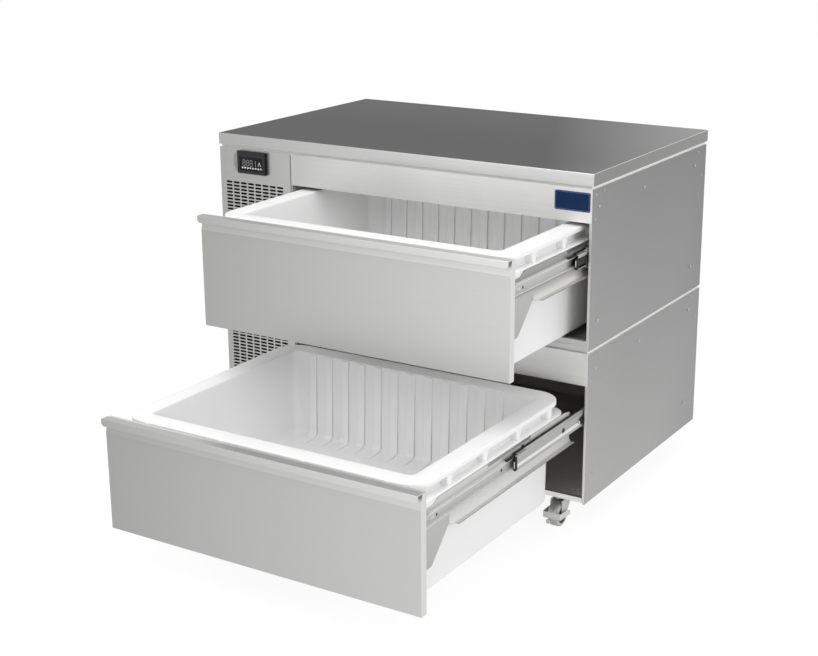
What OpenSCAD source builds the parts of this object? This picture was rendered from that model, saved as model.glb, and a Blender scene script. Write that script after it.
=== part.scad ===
// Counter-height refrigerator: two stacked drawer modules under one worktop, on four castors.
// The machinery of each module stands in a bay at the left; the drawers run in the bay at the right.
// Origin: on the floor, under the middle of the cabinet. Front towards -Y, right towards +X, up +Z.

/* [Cabinet] */
// Width of the worktop
top_w = 1100; // [1090:2:1180]
// Depth of the worktop and of the cabinet
top_d = 700; // [696:2:740]
// Height of the worktop's folded edge
top_t = 29.5; // [20:0.5:40]
// Height of the gap under the worktop
top_gap = 8.5; // [6:0.5:14]
// Height of the upper module
up_h = 391; // [388:1:410]
// Height of the gap between the two modules
joint_gap = 7; // [6:0.5:12]
// Height of the lower module
low_h = 381; // [379:1:400]
// How far the side panels stand in from the worktop's edge
side_inset = 3; // [1:0.5:6]
// Thickness of the side panels' folded trays
side_t = 6; // [5:0.5:7]
// Sheet thickness of the casing
sheet = 1.2; // [0.8:0.1:1.4]
// Sheet thickness of the worktop
top_sheet = 1.5; // [1:0.1:2.5]
// Width of the return lip under the worktop's edge
top_lip = 22; // [10:1:40]
// How far the lower side panels hang below the lower module
low_drop = 5; // [2:0.5:10]
// How far the spacer rings stand in from the side panels' faces
ring_inset = 3; // [2:0.5:3.5]
// Wall thickness of the spacer rings
ring_t = 2.5; // [2:0.5:4]

/* [Front] */
// Clear width of the machinery bay's front panel
engine_w = 230.5; // [226:0.5:231]
// Gap between the engine panel and the fascia
panel_gap = 2.5; // [2:0.5:4]
// Height of the fascia below the module's top
fascia_h = 79; // [74:0.5:80]
// How far the fascia and engine panel rise above the module's top
fascia_up = 2; // [0:0.5:4]
// How far the fascia's right end stands in from the side panel's face
fascia_end = 1; // [0.5:0.5:4]
// Depth of the folded returns behind the front panels
return_d = 11; // [8:1:12]
// Height of each tier of the sills
sill_h = 12.5; // [9:0.5:13]
// Set-back of the upper sill's second tier
sill_set = 3; // [2:0.5:5]
// Width of the label plate
label_w = 93; // [60:1:110]
// Height of the label plate
label_h = 47; // [30:1:52]
// Thickness of the label plate
label_t = 0.8; // [0.5:0.1:1.5]
// Distance from the label plate to the fascia's right end
label_end = 3; // [2:0.5:30]
// Distance from the label plate's top to the module's top
label_drop = 7; // [5:0.5:14]

/* [Grille] */
// Number of slot columns
slot_cols = 8; // [4:1:8]
// Number of slot rows
slot_rows = 20; // [8:1:22]
// Length of one slot
slot_l = 20; // [12:0.5:20.5]
// Height of one slot
slot_h = 5.4; // [3:0.1:5.6]
// Distance between slot columns
slot_px = 24; // [22.5:0.5:24.5]
// Distance between slot rows
slot_pz = 9.25; // [8:0.25:9.5]
// Distance from the first row to the module's top
slot_top = 91; // [86:1:96]
// Distance from the cabinet's side to the first slot
slot_side = 18; // [14:0.5:24]

/* [Controller] */
// Width of the controller's bezel
ctrl_w = 96.5; // [80:0.5:110]
// Height of the controller's bezel
ctrl_h = 61; // [50:0.5:66]
// Distance from the cabinet's side to the bezel
ctrl_side = 59; // [40:1:70]
// Distance from the bezel's top to the module's top
ctrl_drop = 4; // [3:0.5:8]
// How far the bezel stands proud of the panel
ctrl_t = 2.4; // [1.5:0.1:4]
// Depth of the controller's body behind the panel
ctrl_d = 32; // [20:1:40]
// Clearance between the controller's body and its cut-out
ctrl_fit = 0.5; // [0.2:0.1:1]

/* [Bay] */
// Clearance between the bay's side walls and the drawer carriage: the slides fill it
slide_t = 19; // [18:0.5:20]
// Thickness of the bulkhead between machinery and drawers
bulk_t = 3; // [2:0.5:3.5]
// Thickness of the inner floor, roof and walls
liner_t = 1.6; // [1.2:0.1:2]
// Distance from the inner back wall to the back of the cabinet
back_gap = 6; // [5:0.5:8]

/* [Drawer] */
// Thickness of the drawer's front panel
front_t = 20; // [16:0.5:20]
// Gap between the shut drawer's front panel and the cabinet's face
front_gap = 2; // [1.5:0.5:4]
// Clearance between the front panel's left edge and the bulkhead's line
front_left = 18; // [10:1:20]
// How far the front panel's right edge stands in from the side panel's face
front_right = 1; // [0.5:0.5:4]
// Distance from the module's top to the front panel's top edge
front_top = 81.5; // [81:0.5:86]
// Height of the lower front panel
front_h = 270; // [262:1:271]
// How much taller the upper front panel is
front_more = 3; // [0:0.5:3.5]
// Height of the panel's sloping top part
front_slope_h = 34; // [20:1:40]
// How far the sloping part leans back
front_slope = 7; // [3:0.5:10]
// How far the handle lip stands out of the panel's top edge
lip_out = 20; // [16:0.5:26]
// Height of the handle lip's flap
lip_h = 17; // [16:0.5:24]
// Thickness of the handle lip
lip_t = 2; // [1.5:0.1:2.4]
// Rounding of the handle flap's lower corners
lip_r = 8; // [5:0.5:8]
// Travel of each drawer from shut to fully out
travel = 726; // [690:1:726]
// How far out the upper drawer rests
upper_open = 364.5; // [0:0.5:690]
// How far out the lower drawer rests
lower_open = 726; // [0:1:726]

/* [Carriage] */
// Sheet thickness of the carriage's side plates
plate_t = 1.5; // [1.2:0.1:2]
// Distance from the module's top to the side plates' top edge
plate_top = 130; // [126:1:132]
// Height of the side plates
plate_h = 74; // [70:1:78]
// Depth of the shallow notch in the plates' top edge
plate_notch = 8; // [4:0.5:9]
// Depth of the notch at the plates' front end
plate_step = 11; // [6:0.5:12]
// Distance from the front panel's face to the plates' rear end
plate_end = 708; // [704:1:709]
// Height of the front gusset below the plates' lower edge
gusset_h = 72; // [50:1:76]
// Distance from the front panel's face to where the gusset ends
gusset_end = 150; // [120:1:170]
// Width of the flange along the plates' lower edge
flange_w = 16; // [10:0.5:17]
// Inner bend radius of that flange
flange_r = 5; // [3:0.5:6]

/* [Slides] */
// Distance from the module's top to the middle of the slides
slide_z = 162; // [160:1:164]
// Height of the outer slide member
outer_h = 46; // [44:0.5:46]
// Height of the middle slide member
mid_h = 34; // [33:0.5:35]
// Height of the inner slide member
inner_h = 24; // [23:0.5:27]
// Length of the outer and middle slide members
slide_l = 640; // [600:5:650]
// Length of the inner slide member
inner_l = 676; // [640:1:677]
// Sheet thickness of the slide members
slide_s = 1.5; // [1.2:0.1:1.6]
// Length of the strips that hold the rows of balls
race_l = 280; // [220:5:285]
// Running clearance of those strips against the other slide members
race_fit = 0.1; // [0.05:0.05:0.3]
// Distance from the front panel's face to the inner member's front end
inner_start = 30; // [26:1:31]
// Distance from the cabinet's face to the outer member's front end
outer_start = 5; // [4:0.5:6]
// Distance from the cabinet's face to the shut middle member's front end
mid_start = 32; // [28:1:36]
// How much shorter the upper middle members are than the lower ones
mid_short = 104; // [90:1:115]

/* [Bin] */
// Distance from the module's top to the bin's rim
rim_top = 89; // [87:0.5:91]
// How far the bin's rim stands in from the side plates' outer faces
rim_gap = 4; // [3:0.5:8]
// Height of the rim's skirt
rim_t = 12; // [9:0.5:14]
// Distance from the front panel's face to the rim
rim_start = 43; // [40:1:46]
// Length of the rim from front to back
rim_l = 650; // [644:1:651]
// Rounding of the rim's outer corners
rim_r = 66; // [60:1:70]
// How far the neck under the rim stands in
neck_in = 22; // [15:1:24]
// Thickness of the ledge that rests on the side plates
ledge_t = 4; // [3:0.5:6]
// How far the ledge's edge stands in from the side plates' outer faces
ledge_gap = 1; // [0.5:0.1:1.2]
// Distance from the front panel's face to the ledge
ledge_start = 40; // [36:1:44]
// Length of the ledge
ledge_l = 660; // [650:1:661]
// How far the bin's body stands in from the side plates' outer faces
body_gap = 34; // [32:0.5:38]
// Distance from the front panel's face to the body
body_start = 50; // [48:1:56]
// Length of the bin's body
body_l = 644; // [636:1:646]
// Distance from the module's top to the bin's underside
body_bottom = 361; // [352:1:362]
// Rounding of the body's upright corners
body_r = 45; // [40:1:52]
// Thickness of the bin's insulated side walls
bin_wall = 19; // [17:0.5:27]
// Distance from the front panel's face to the cavity
cav_start = 92; // [88:1:96]
// Length of the cavity
cav_l = 548; // [530:1:552]
// Distance from the module's top to the cavity's floor
cav_floor = 314; // [290:1:320]
// Rounding of the cavity's upright corners
cav_r = 15; // [12:1:40]
// Wall thickness of the bin's double skin
skin_t = 3; // [2.5:0.1:3.5]
// Distance between the pairs of ribs under the rim
rib_pitch = 155; // [140:1:160]
// Distance from the front panel's face to the first pair of ribs
rib_start = 135; // [120:1:150]

/* [Lid] */
// Distance from the module's top to the raised gasket's lower face
lid_low = 83; // [82:0.5:83.5]
// Height of the gasket
gasket_h = 5; // [4:0.5:6]
// Width of the gasket
gasket_w = 14; // [10:1:20]
// Thickness of the lid
lid_t = 40; // [30:1:42]
// Thickness of the lid's skin
lid_skin = 3; // [2:0.5:5]
// How far the lid stands in from the side plates' outer faces
lid_gap = 9; // [6:0.5:16]
// Length of the lid from front to back
lid_l = 635; // [620:1:640]
// Distance of the lid's front guide pins from its front edge
lid_pin_front = 30; // [28:1:36]
// Distance of the lid's rear guide pins from its rear edge
lid_pin_back = 25; // [22:1:32]
// Rounding of the lid's corners
lid_r = 52; // [46:1:56]
// Radius of the lid's guide pins
pin_r = 4; // [3:0.5:5]
// Radial clearance of the guide pins in their sleeves
pin_fit = 0.1; // [0.05:0.05:0.3]

/* [Machinery] */
// Radius of the compressor's shell
comp_r = 72; // [60:1:75]
// Height of the compressor's shell
comp_h = 165; // [130:1:175]
// Height of the condenser
cond_h = 230; // [180:5:250]
// Width of the condenser
cond_w = 185; // [150:5:190]
// Depth of the condenser
cond_d = 38; // [30:1:44]
// Radius of the condenser fan
fan_r = 80; // [60:1:82]
// Radius of the fan motor's shaft
shaft_r = 3; // [2:0.5:4]
// Radial clearance of the shaft in the fan's hub
shaft_fit = 0.05; // [0.02:0.01:0.1]
// Radius of the refrigerant tubes
tube_r = 4; // [3:0.5:5]
// Distance between the evaporator's runs
evap_pitch = 50; // [40:1:52]
// Radius of the supply cable's inlet
inlet_r = 5; // [4:0.5:7]

/* [Castors] */
// Height from the floor to the cabinet's base
castor_h = 83; // [82:1:90]
// Distance of the front castors' swivel axes from the worktop's sides
castor_side = 83; // [75:1:95]
// Distance of the rear castors' swivel axes from the worktop's sides
castor_rear_side = 120; // [105:1:140]
// Distance of the front swivel axes from the cabinet's face
castor_in = 45; // [45:1:55]
// Distance of the rear swivel axes from the cabinet's back
castor_out = 60; // [50:1:70]
// Distance of the wheel's axle in front of the swivel axis
trail = 25; // [20:1:26]
// Radius of the wheels
wheel_r = 30; // [26:1:30]
// Width of the wheels
wheel_w = 26; // [20:1:27]
// Radius of the axles
axle_r = 4; // [3:0.5:5]
// Radial clearance of the wheels and pedals on the axles
axle_fit = 0.1; // [0.05:0.05:0.3]
// Radius of the kingpins
king_r = 6; // [5:0.5:7]
// Thickness of the castors' top plates
castor_plate_t = 3; // [2.5:0.5:4]
// Thickness of the fork's legs
leg_t = 3; // [2.5:0.5:3.5]
// Overall width of the brake pedal
pedal_w = 48; // [46:1:50]

/* [Hidden] */
$fn = 48;

// Heights of the stack
low_b = castor_h;
low_t = low_b + low_h;
up_b = low_t + joint_gap;
up_t = up_b + up_h;
top_b = up_t + top_gap;
top_z = top_b + top_t;

// Planes of the casing
face_y = -top_d / 2;
rear_y = top_d / 2;
side_x = top_w / 2 - side_inset;
wall_x = side_x - side_t;
bulk_x = -side_x + engine_w + 0.5;
bay_l = bulk_x + bulk_t;
bay_r = wall_x;
bay_m = (bay_l + bay_r) / 2;
plate_half = (bay_r - bay_l) / 2 - slide_t;
inner_y = face_y + 3;
wall_y = rear_y - back_gap;
shut_y = face_y - front_gap - front_t;
lid_y = shut_y + rim_start - 1;
lid_pins = [lid_y + lid_pin_front, lid_y + lid_l - lid_pin_back];
mach_x = (-side_x + bulk_x) / 2;
rim_half = plate_half - rim_gap;
ledge_half = plate_half - ledge_gap;
body_half = plate_half - body_gap;
cav_half = body_half - bin_wall;
lid_half = plate_half - lid_gap;
castor_x = top_w / 2 - castor_side;
castor_rear_x = top_w / 2 - castor_rear_side;
castor_front = top_d / 2 - castor_in;
castor_rear = top_d / 2 - castor_out;

function drawer_y(open) = shut_y - open;

// Box between given limits
module slab(x0, x1, y0, y1, z0, z1)
    translate([x0, y0, z0])
        cube([x1 - x0, y1 - y0, z1 - z0]);

// Rectangle with round corners, centred
module round_rect(w, d, r) {
    square([w - 2 * r, d], center = true);
    square([w, d - 2 * r], center = true);
    for (sx = [-1, 1], sy = [-1, 1])
        translate([sx * (w / 2 - r), sy * (d / 2 - r)])
            circle(r);
}

// Upright block with round corners, from y0 over length l, about the plane x = 0
module round_slab(half, y0, l, z0, z1, r)
    translate([0, y0 + l / 2, z0])
        linear_extrude(z1 - z0)
            round_rect(2 * half, l, r);

// Rounded plate facing the front, its face at y0
module face_plate(x0, w, z1, h, y0, t, r)
    translate([x0 + w / 2, y0 + t, z1 - h / 2])
        rotate([90, 0, 0])
            linear_extrude(t)
                round_rect(w, h, r);

// Profile in the plane of Y and Z, drawn along X from x0 to x1
module along_x(x0, x1)
    translate([x0, 0, 0])
        rotate([90, 0, 90])
            linear_extrude(x1 - x0)
                children();

// Child on the right of the drawer bay's middle plane, and its mirror image on the left
module both_sides()
    for (s = [0, 1])
        translate([bay_m, 0, 0])
            mirror([s, 0, 0])
                children();

// Worktop: tray folded down on four sides, with a return lip
module worktop() {
    color("#BDBDBB")
    difference() {
        slab(-top_w / 2, top_w / 2, face_y, rear_y, top_b, top_z);
        slab(-top_w / 2 + top_sheet, top_w / 2 - top_sheet, face_y + top_sheet, rear_y - top_sheet,
            top_b + top_sheet, top_z - top_sheet);
        slab(-top_w / 2 + top_lip, top_w / 2 - top_lip, face_y + top_lip, rear_y - top_lip,
            top_b - 1, top_b + 2 * top_sheet);
    }
}

// One ring between stacked parts
module spacer(z0, z1) {
    x = side_x - ring_inset;
    difference() {
        slab(-x, x, face_y + 2 * ring_inset, rear_y - ring_inset, z0, z1);
        slab(-x + ring_t, x - ring_t, face_y + 2 * ring_inset + ring_t, rear_y - ring_inset - ring_t,
            z0 - 1, z1 + 1);
    }
}

// The rings under the worktop and between the modules
module spacer_frames() {
    color("#E4E4E2") {
        spacer(low_t, up_b);
        spacer(up_t, top_b);
    }
}

// Bare label plate at the right of the upper fascia
module label_plate() {
    color("#2B3E6E")
    face_plate(side_x - fascia_end - label_end - label_w, label_w, up_t - label_drop, label_h,
        face_y - label_t, label_t, 5);
}

// Side panel: shallow tray, open towards the inside
module side_tray(z0, z1) {
    difference() {
        slab(wall_x, side_x, face_y + sheet, rear_y, z0, z1);
        slab(wall_x - 1, side_x - sheet, face_y + 2 * sheet, rear_y - sheet, z0 + sheet, z1 - sheet);
    }
}

module upper_side_right() {
    color("#9B9E9D")
    side_tray(up_b, up_t);
}

module upper_side_left() {
    color("#9B9E9D")
    mirror([1, 0, 0])
        side_tray(up_b, up_t);
}

module lower_side_right() {
    color("#9B9E9D")
    side_tray(low_b - low_drop, low_t);
}

module lower_side_left() {
    color("#9B9E9D")
    mirror([1, 0, 0])
        side_tray(low_b - low_drop, low_t);
}

// Pan-head screw pointing out to the right
module side_screw(y, z)
    translate([side_x, y, z])
        rotate([0, 90, 0])
            cylinder(h = 2, r1 = 4.2, r2 = 2.6);

// The screws that hold the four side panels
module panel_screws() {
    color("#C9C9C7")
    for (s = [0, 1])
        mirror([s, 0, 0])
            for (b = [low_b, up_b])
                for (p = [[-310, 346], [-54, 346], [273, 345], [-304, 68], [273, 69.5]])
                    side_screw(p[0] * top_d / 700, b + p[1] * (b == low_b ? low_h : up_h) / 391);
}

// Back panel with louvre slots behind the machinery
module back_sheet(z0, z1) {
    difference() {
        slab(-wall_x + 0.2, wall_x - 0.2, rear_y - sheet, rear_y, z0, z1);
        for (k = [0 : 9])
            slab(mach_x - 80, mach_x + 80, rear_y - sheet - 1, rear_y + 1, z0 + 120 + 20 * k,
                z0 + 126 + 20 * k);
    }
}

module upper_back_panel() {
    color("#9B9E9D")
    back_sheet(up_b, up_t);
}

// The lower one also carries the inlet for the supply cable
module lower_back_panel() {
    color("#9B9E9D")
    difference() {
        union() {
            back_sheet(low_b, low_t);
            translate([mach_x, rear_y - back_gap, low_b + 60])
                rotate([-90, 0, 0])
                    cylinder(h = back_gap, r = inlet_r + 4);
        }
        translate([mach_x, rear_y - back_gap - 1, low_b + 60])
            rotate([-90, 0, 0])
                cylinder(h = back_gap + 2, r = inlet_r);
    }
}

// Inner sheet box: floor, roof, bulkhead, right wall, back wall and the lid's guide sleeves
module carcass(z0, z1) {
    z_top = z1 - sheet - 0.2;
    z_bot = z0 + 0.4;
    sleeve_top = z_top - liner_t;
    difference() {
        union() {
            slab(-wall_x, wall_x, inner_y, wall_y + liner_t, z_bot, z_bot + liner_t);
            slab(-wall_x, wall_x + liner_t, inner_y, wall_y + liner_t, z_top - liner_t, z_top);
            slab(bulk_x, bay_l, inner_y, wall_y + liner_t, z_bot, z_top);
            slab(wall_x, wall_x + liner_t, inner_y, wall_y + liner_t, z0 + sheet + 0.2, z_top);
            slab(bulk_x, wall_x, wall_y, wall_y + liner_t, z_bot, z_top);
            for (sx = [-1, 1], y = lid_pins)
                translate([bay_m + sx * (lid_half - 19), y, sleeve_top - 20])
                    cylinder(h = 21, r = pin_r + 5);
        }
        for (sx = [-1, 1], y = lid_pins)
            translate([bay_m + sx * (lid_half - 19), y, sleeve_top - 21])
                cylinder(h = 21, r = pin_r + pin_fit);
    }
}

module upper_carcass() {
    color("#45443F")
    carcass(up_b, up_t);
}

module lower_carcass() {
    color("#45443F")
    carcass(low_b, low_t);
}

// One folded tier of a sill
module sill_tier(y, z, h, foot) {
    x0 = bay_l + 0.5;
    x1 = wall_x - 0.2;
    slab(x0, x1, y, y + sheet, z, z + h);
    slab(x0, x1, y, y + return_d, z + h - sheet, z + h);
    slab(x0, x1, y + return_d - sheet, y + return_d, z + foot, z + h);
}

module lower_sill() {
    color("#D2D2CF")
    sill_tier(face_y, low_b, sill_h, 0.6 + liner_t);
}

module upper_sill() {
    color("#D2D2CF") {
        sill_tier(face_y, up_b, sill_h, 0.6 + liner_t);
        sill_tier(face_y + sill_set, up_b + sill_h, sill_h, 0);
    }
}

// Fascia over the drawer bay, with folded returns at its upper and lower edges
module fascia(z1) {
    x0 = -side_x + engine_w + panel_gap;
    slab(x0, side_x - fascia_end, face_y, face_y + sheet, z1 - fascia_h, z1 + fascia_up);
    slab(x0 + 1.2, wall_x - 0.2, face_y, face_y + return_d, z1 - fascia_h, z1 - fascia_h + sheet);
    slab(x0 + 1.2, wall_x - 0.2, face_y, face_y + return_d, z1 - 3.2 - sheet, z1 - 3.2);
}

module upper_fascia() {
    color("#C6C6C3")
    fascia(up_t);
}

module lower_fascia() {
    color("#C6C6C3")
    fascia(low_t);
}

// Slots of the ventilation grille, from the first row down
module grille_slots(z1) {
    for (i = [0 : slot_cols - 1], j = [0 : slot_rows - 1])
        translate([-side_x + slot_side + slot_l / 2 + i * slot_px, z1 - slot_top - j * slot_pz]) {
            square([slot_l - slot_h, slot_h], center = true);
            for (s = [-1, 1])
                translate([s * (slot_l - slot_h) / 2, 0])
                    circle(slot_h / 2);
        }
}

// Front panel of the machinery bay: grille, controller cut-out and folded returns
module engine_panel(z0, z1) {
    x1 = -side_x + engine_w;
    translate([0, face_y + sheet, 0])
        rotate([90, 0, 0])
            linear_extrude(sheet)
                difference() {
                    translate([-side_x, z0])
                        square([engine_w, z1 + fascia_up - z0]);
                    grille_slots(z1);
                    translate([-side_x + ctrl_side + 4, z1 - ctrl_drop - ctrl_h + 4])
                        square([ctrl_w - 8, ctrl_h - 8]);
                }
    difference() {
        slab(-wall_x + 0.5, x1, face_y, face_y + return_d, z0 + 2.4, z1 - 3.2);
        slab(-wall_x + 0.5 + sheet, x1 - sheet, face_y - 1, face_y + return_d + 1, z0 + 2.4 + sheet,
            z1 - 3.2 - sheet);
    }
}

module upper_engine_panel() {
    color("#BDBDBA")
    engine_panel(up_b, up_t);
}

module lower_engine_panel() {
    color("#BDBDBA")
    engine_panel(low_b, low_t);
}

// Controller: bezel in front of the panel, body behind it through the cut-out
module controller(z1) {
    x0 = -side_x + ctrl_side;
    difference() {
        union() {
            face_plate(x0, ctrl_w, z1 - ctrl_drop, ctrl_h, face_y - ctrl_t, ctrl_t, 5);
            slab(x0 + 4 + ctrl_fit, x0 + ctrl_w - 4 - ctrl_fit, face_y, face_y + ctrl_d,
                z1 - ctrl_drop - ctrl_h + 4 + ctrl_fit, z1 - ctrl_drop - 6);
        }
        slab(x0 + 12, x0 + ctrl_w - 12, face_y - ctrl_t - 1, face_y - ctrl_t + 1.2,
            z1 - ctrl_drop - ctrl_h + 22, z1 - ctrl_drop - 10);
    }
}

module upper_controller() {
    color("#34363C")
    controller(up_t);
}

module lower_controller() {
    color("#34363C")
    controller(low_t);
}

// Window of the controller's display, seated in its recess
module display(z1) {
    x0 = -side_x + ctrl_side;
    slab(x0 + 12.3, x0 + ctrl_w - 12.3, face_y - ctrl_t + 0.2, face_y - ctrl_t + 1.2,
        z1 - ctrl_drop - ctrl_h + 22.3, z1 - ctrl_drop - 10.3);
}

module upper_display() {
    color("#111318")
    display(up_t);
}

module lower_display() {
    color("#111318")
    display(low_t);
}

// Lid: shallow insulated tray with four guide pins
module lid(z1) {
    z0 = z1 - lid_low + gasket_h;
    translate([bay_m, 0, 0]) {
        difference() {
            round_slab(lid_half, lid_y, lid_l, z0, z0 + lid_t, lid_r);
            round_slab(lid_half - lid_skin, lid_y + lid_skin, lid_l - 2 * lid_skin,
                z0 + lid_skin, z0 + lid_t + 1, lid_r - lid_skin);
        }
        for (sx = [-1, 1], y = lid_pins) {
            translate([sx * (lid_half - 19), y, z0 + 1])
                cylinder(h = z1 - 7 - z0, r = pin_r);
            translate([sx * (lid_half - 19), y, z0 + 1])
                cylinder(h = lid_t - 4, r = pin_r + 4);
        }
    }
}

module upper_lid() {
    color("#E2E2DF")
    lid(up_t);
}

module lower_lid() {
    color("#E2E2DF")
    lid(low_t);
}

// Gasket: a ring under the lid that meets the bin's rim
module lid_gasket(z1) {
    z0 = z1 - lid_low;
    y0 = lid_y + 5;
    half = lid_half - 4;
    l = lid_l - 13;
    translate([bay_m, 0, 0])
        difference() {
            round_slab(half, y0, l, z0, z0 + gasket_h, lid_r);
            round_slab(half - gasket_w, y0 + gasket_w, l - 2 * gasket_w, z0 - 1, z0 + gasket_h + 1,
                lid_r - gasket_w);
        }
}

module upper_lid_gasket() {
    color("#4A4A4C")
    lid_gasket(up_t);
}

module lower_lid_gasket() {
    color("#4A4A4C")
    lid_gasket(low_t);
}

// Channel section of a slide member: web at the height's side, two lips
module channel(web, h, depth) {
    square([slide_s, h], center = true);
    for (s = [-1, 1])
        translate([-web * depth / 2 + web * slide_s / 2, s * (h - slide_s) / 2])
            square([depth, slide_s], center = true);
}

// Outer slide members on the bay's two side walls
module slide_outer(z1)
    both_sides()
        translate([plate_half + slide_t - slide_s / 2, face_y + outer_start + slide_l, z1 - slide_z])
            rotate([90, 0, 0])
                linear_extrude(slide_l)
                    channel(1, outer_h, 11);

// Middle slide members, shifted forward by half the drawer's opening, with the strips of balls:
// the rear pair runs in the outer member, the front pair carries the inner member
module slide_mid(z1, open, short) {
    y0 = face_y + mid_start + short - open / 2;
    y1 = y0 + slide_l - short;
    both_sides()
        translate([plate_half + slide_t - 3.6, 0, z1 - slide_z]) {
            translate([0, y1, 0])
                rotate([90, 0, 0])
                    linear_extrude(y1 - y0)
                        channel(1, mid_h, 12);
            for (s = [0, 1])
                mirror([0, 0, s]) {
                    slab(-7, -1, y1 - race_l, y1, mid_h / 2 - 0.5,
                        outer_h / 2 - slide_s - race_fit);
                    slab(-11, -5, y0, y0 + race_l, inner_h / 2 + race_fit, mid_h / 2 - 1);
                }
        }
}

// Inner slide members on the carriage's side plates
module slide_inner(z1, open)
    both_sides()
        translate([plate_half + slide_s / 2, drawer_y(open) + inner_start + inner_l, z1 - slide_z])
            rotate([90, 0, 0])
                linear_extrude(inner_l)
                    channel(-1, inner_h, 12);

module upper_slide_outer() {
    color("#A9ABAA")
    slide_outer(up_t);
}

module lower_slide_outer() {
    color("#A9ABAA")
    slide_outer(low_t);
}

module upper_slide_mid() {
    color("#B8BAB9")
    slide_mid(up_t, upper_open, mid_short);
}

module lower_slide_mid() {
    color("#B8BAB9")
    slide_mid(low_t, lower_open, 0);
}

module upper_slide_inner() {
    color("#C4C5C3")
    slide_inner(up_t, upper_open);
}

module lower_slide_inner() {
    color("#C4C5C3")
    slide_inner(low_t, lower_open);
}

// Front panel of a drawer: folded box whose top part leans back, open along a slot underneath
module drawer_front(z1, open, h) {
    y0 = drawer_y(open);
    z_hi = z1 - front_top;
    z_lo = z_hi - h;
    z_bend = z_hi - front_slope_h;
    x0 = bay_l + front_left;
    x1 = side_x - front_right;
    difference() {
        along_x(x0, x1)
            polygon([[y0, z_lo], [y0 + front_t, z_lo], [y0 + front_t, z_hi],
                [y0 + front_slope, z_hi], [y0, z_bend]]);
        along_x(x0 + sheet, x1 - sheet)
            polygon([[y0 + sheet, z_lo + sheet], [y0 + front_t - sheet, z_lo + sheet],
                [y0 + front_t - sheet, z_hi - sheet], [y0 + front_slope + sheet, z_hi - sheet],
                [y0 + sheet, z_bend]]);
        slab(x0 + 20, x1 - 20, y0 + 7, y0 + 13, z_lo - 1, z_lo + 2 * sheet);
    }
}

module upper_drawer_front() {
    color("#BEBEBB")
    drawer_front(up_t, upper_open, front_h + front_more);
}

module lower_drawer_front() {
    color("#BEBEBB")
    drawer_front(low_t, lower_open, front_h);
}

// Handle lip: folded over the panel's top edge and down in front of it
module handle_lip(z1, open) {
    y0 = drawer_y(open) + front_slope - lip_out;
    z0 = z1 - front_top;
    x0 = bay_l + front_left;
    x1 = side_x - front_right;
    slab(x0, x1, y0, drawer_y(open) + front_slope + 2, z0, z0 + lip_t);
    translate([x0, y0 + lip_t, z0 + lip_t - lip_h])
        rotate([90, 0, 0])
            linear_extrude(lip_t) {
                translate([0, lip_r])
                    square([x1 - x0, lip_h - lip_r]);
                translate([lip_r, 0])
                    square([x1 - x0 - 2 * lip_r, lip_r]);
                for (x = [lip_r, x1 - x0 - lip_r])
                    translate([x, lip_r])
                        circle(lip_r);
            }
}

module upper_handle_lip() {
    color("#D6D6D3")
    handle_lip(up_t, upper_open);
}

module lower_handle_lip() {
    color("#D6D6D3")
    handle_lip(low_t, lower_open);
}

// Outline of a carriage plate: shallow notches above, gusset below the front end
module plate_outline(z1) {
    top = z1 - plate_top;
    bot = top - plate_h;
    notch_0 = 0.442 * plate_end;
    notch_1 = 0.722 * plate_end;
    polygon([[front_t, top - plate_step], [4.4 * front_t, top - plate_step], [5.35 * front_t, top],
        [notch_0, top], [notch_0, top - plate_notch], [notch_1, top - plate_notch], [notch_1, top],
        [plate_end - 24, top], [plate_end, top - 5], [plate_end, bot], [gusset_end, bot],
        [4 * front_t, bot - gusset_h + 2], [3.6 * front_t, bot - gusset_h],
        [front_t, bot - gusset_h]]);
}

// Section of the flange along a plate's lower edge: a bend and a short flat
module flange_section() {
    intersection() {
        difference() {
            circle(flange_r + plate_t);
            circle(flange_r);
        }
        translate([-flange_r - plate_t, -flange_r - plate_t])
            square(flange_r + plate_t);
    }
    translate([0, -flange_r - plate_t])
        square([flange_w - flange_r - plate_t, plate_t]);
}

// Carriage: two side plates joined by a bar behind the bin
module carriage(z1, open) {
    y0 = drawer_y(open);
    bot = z1 - plate_top - plate_h;
    both_sides() {
        translate([0, y0, 0])
            along_x(plate_half - plate_t, plate_half)
                plate_outline(z1);
        difference() {
            translate([plate_half + flange_r, y0 + plate_end, bot])
                rotate([90, 0, 0])
                    linear_extrude(plate_end - gusset_end)
                        flange_section();
            translate([plate_half - plate_t, y0 + gusset_end, bot - 10])
                rotate([0, 0, 45])
                    translate([0, -40, 0])
                        cube([60, 40, 20]);
        }
        slab(plate_half - 22, plate_half, y0 + front_t, y0 + front_t + plate_t,
            bot - gusset_h, z1 - plate_top - plate_step);
    }
    slab(bay_m - plate_half, bay_m + plate_half, y0 + plate_end - 5, y0 + plate_end - 5 + plate_t,
        bot, z1 - plate_top - 20);
}

module upper_carriage() {
    color("#C9C9C6")
    carriage(up_t, upper_open);
}

module lower_carriage() {
    color("#C9C9C6")
    carriage(low_t, lower_open);
}

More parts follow.
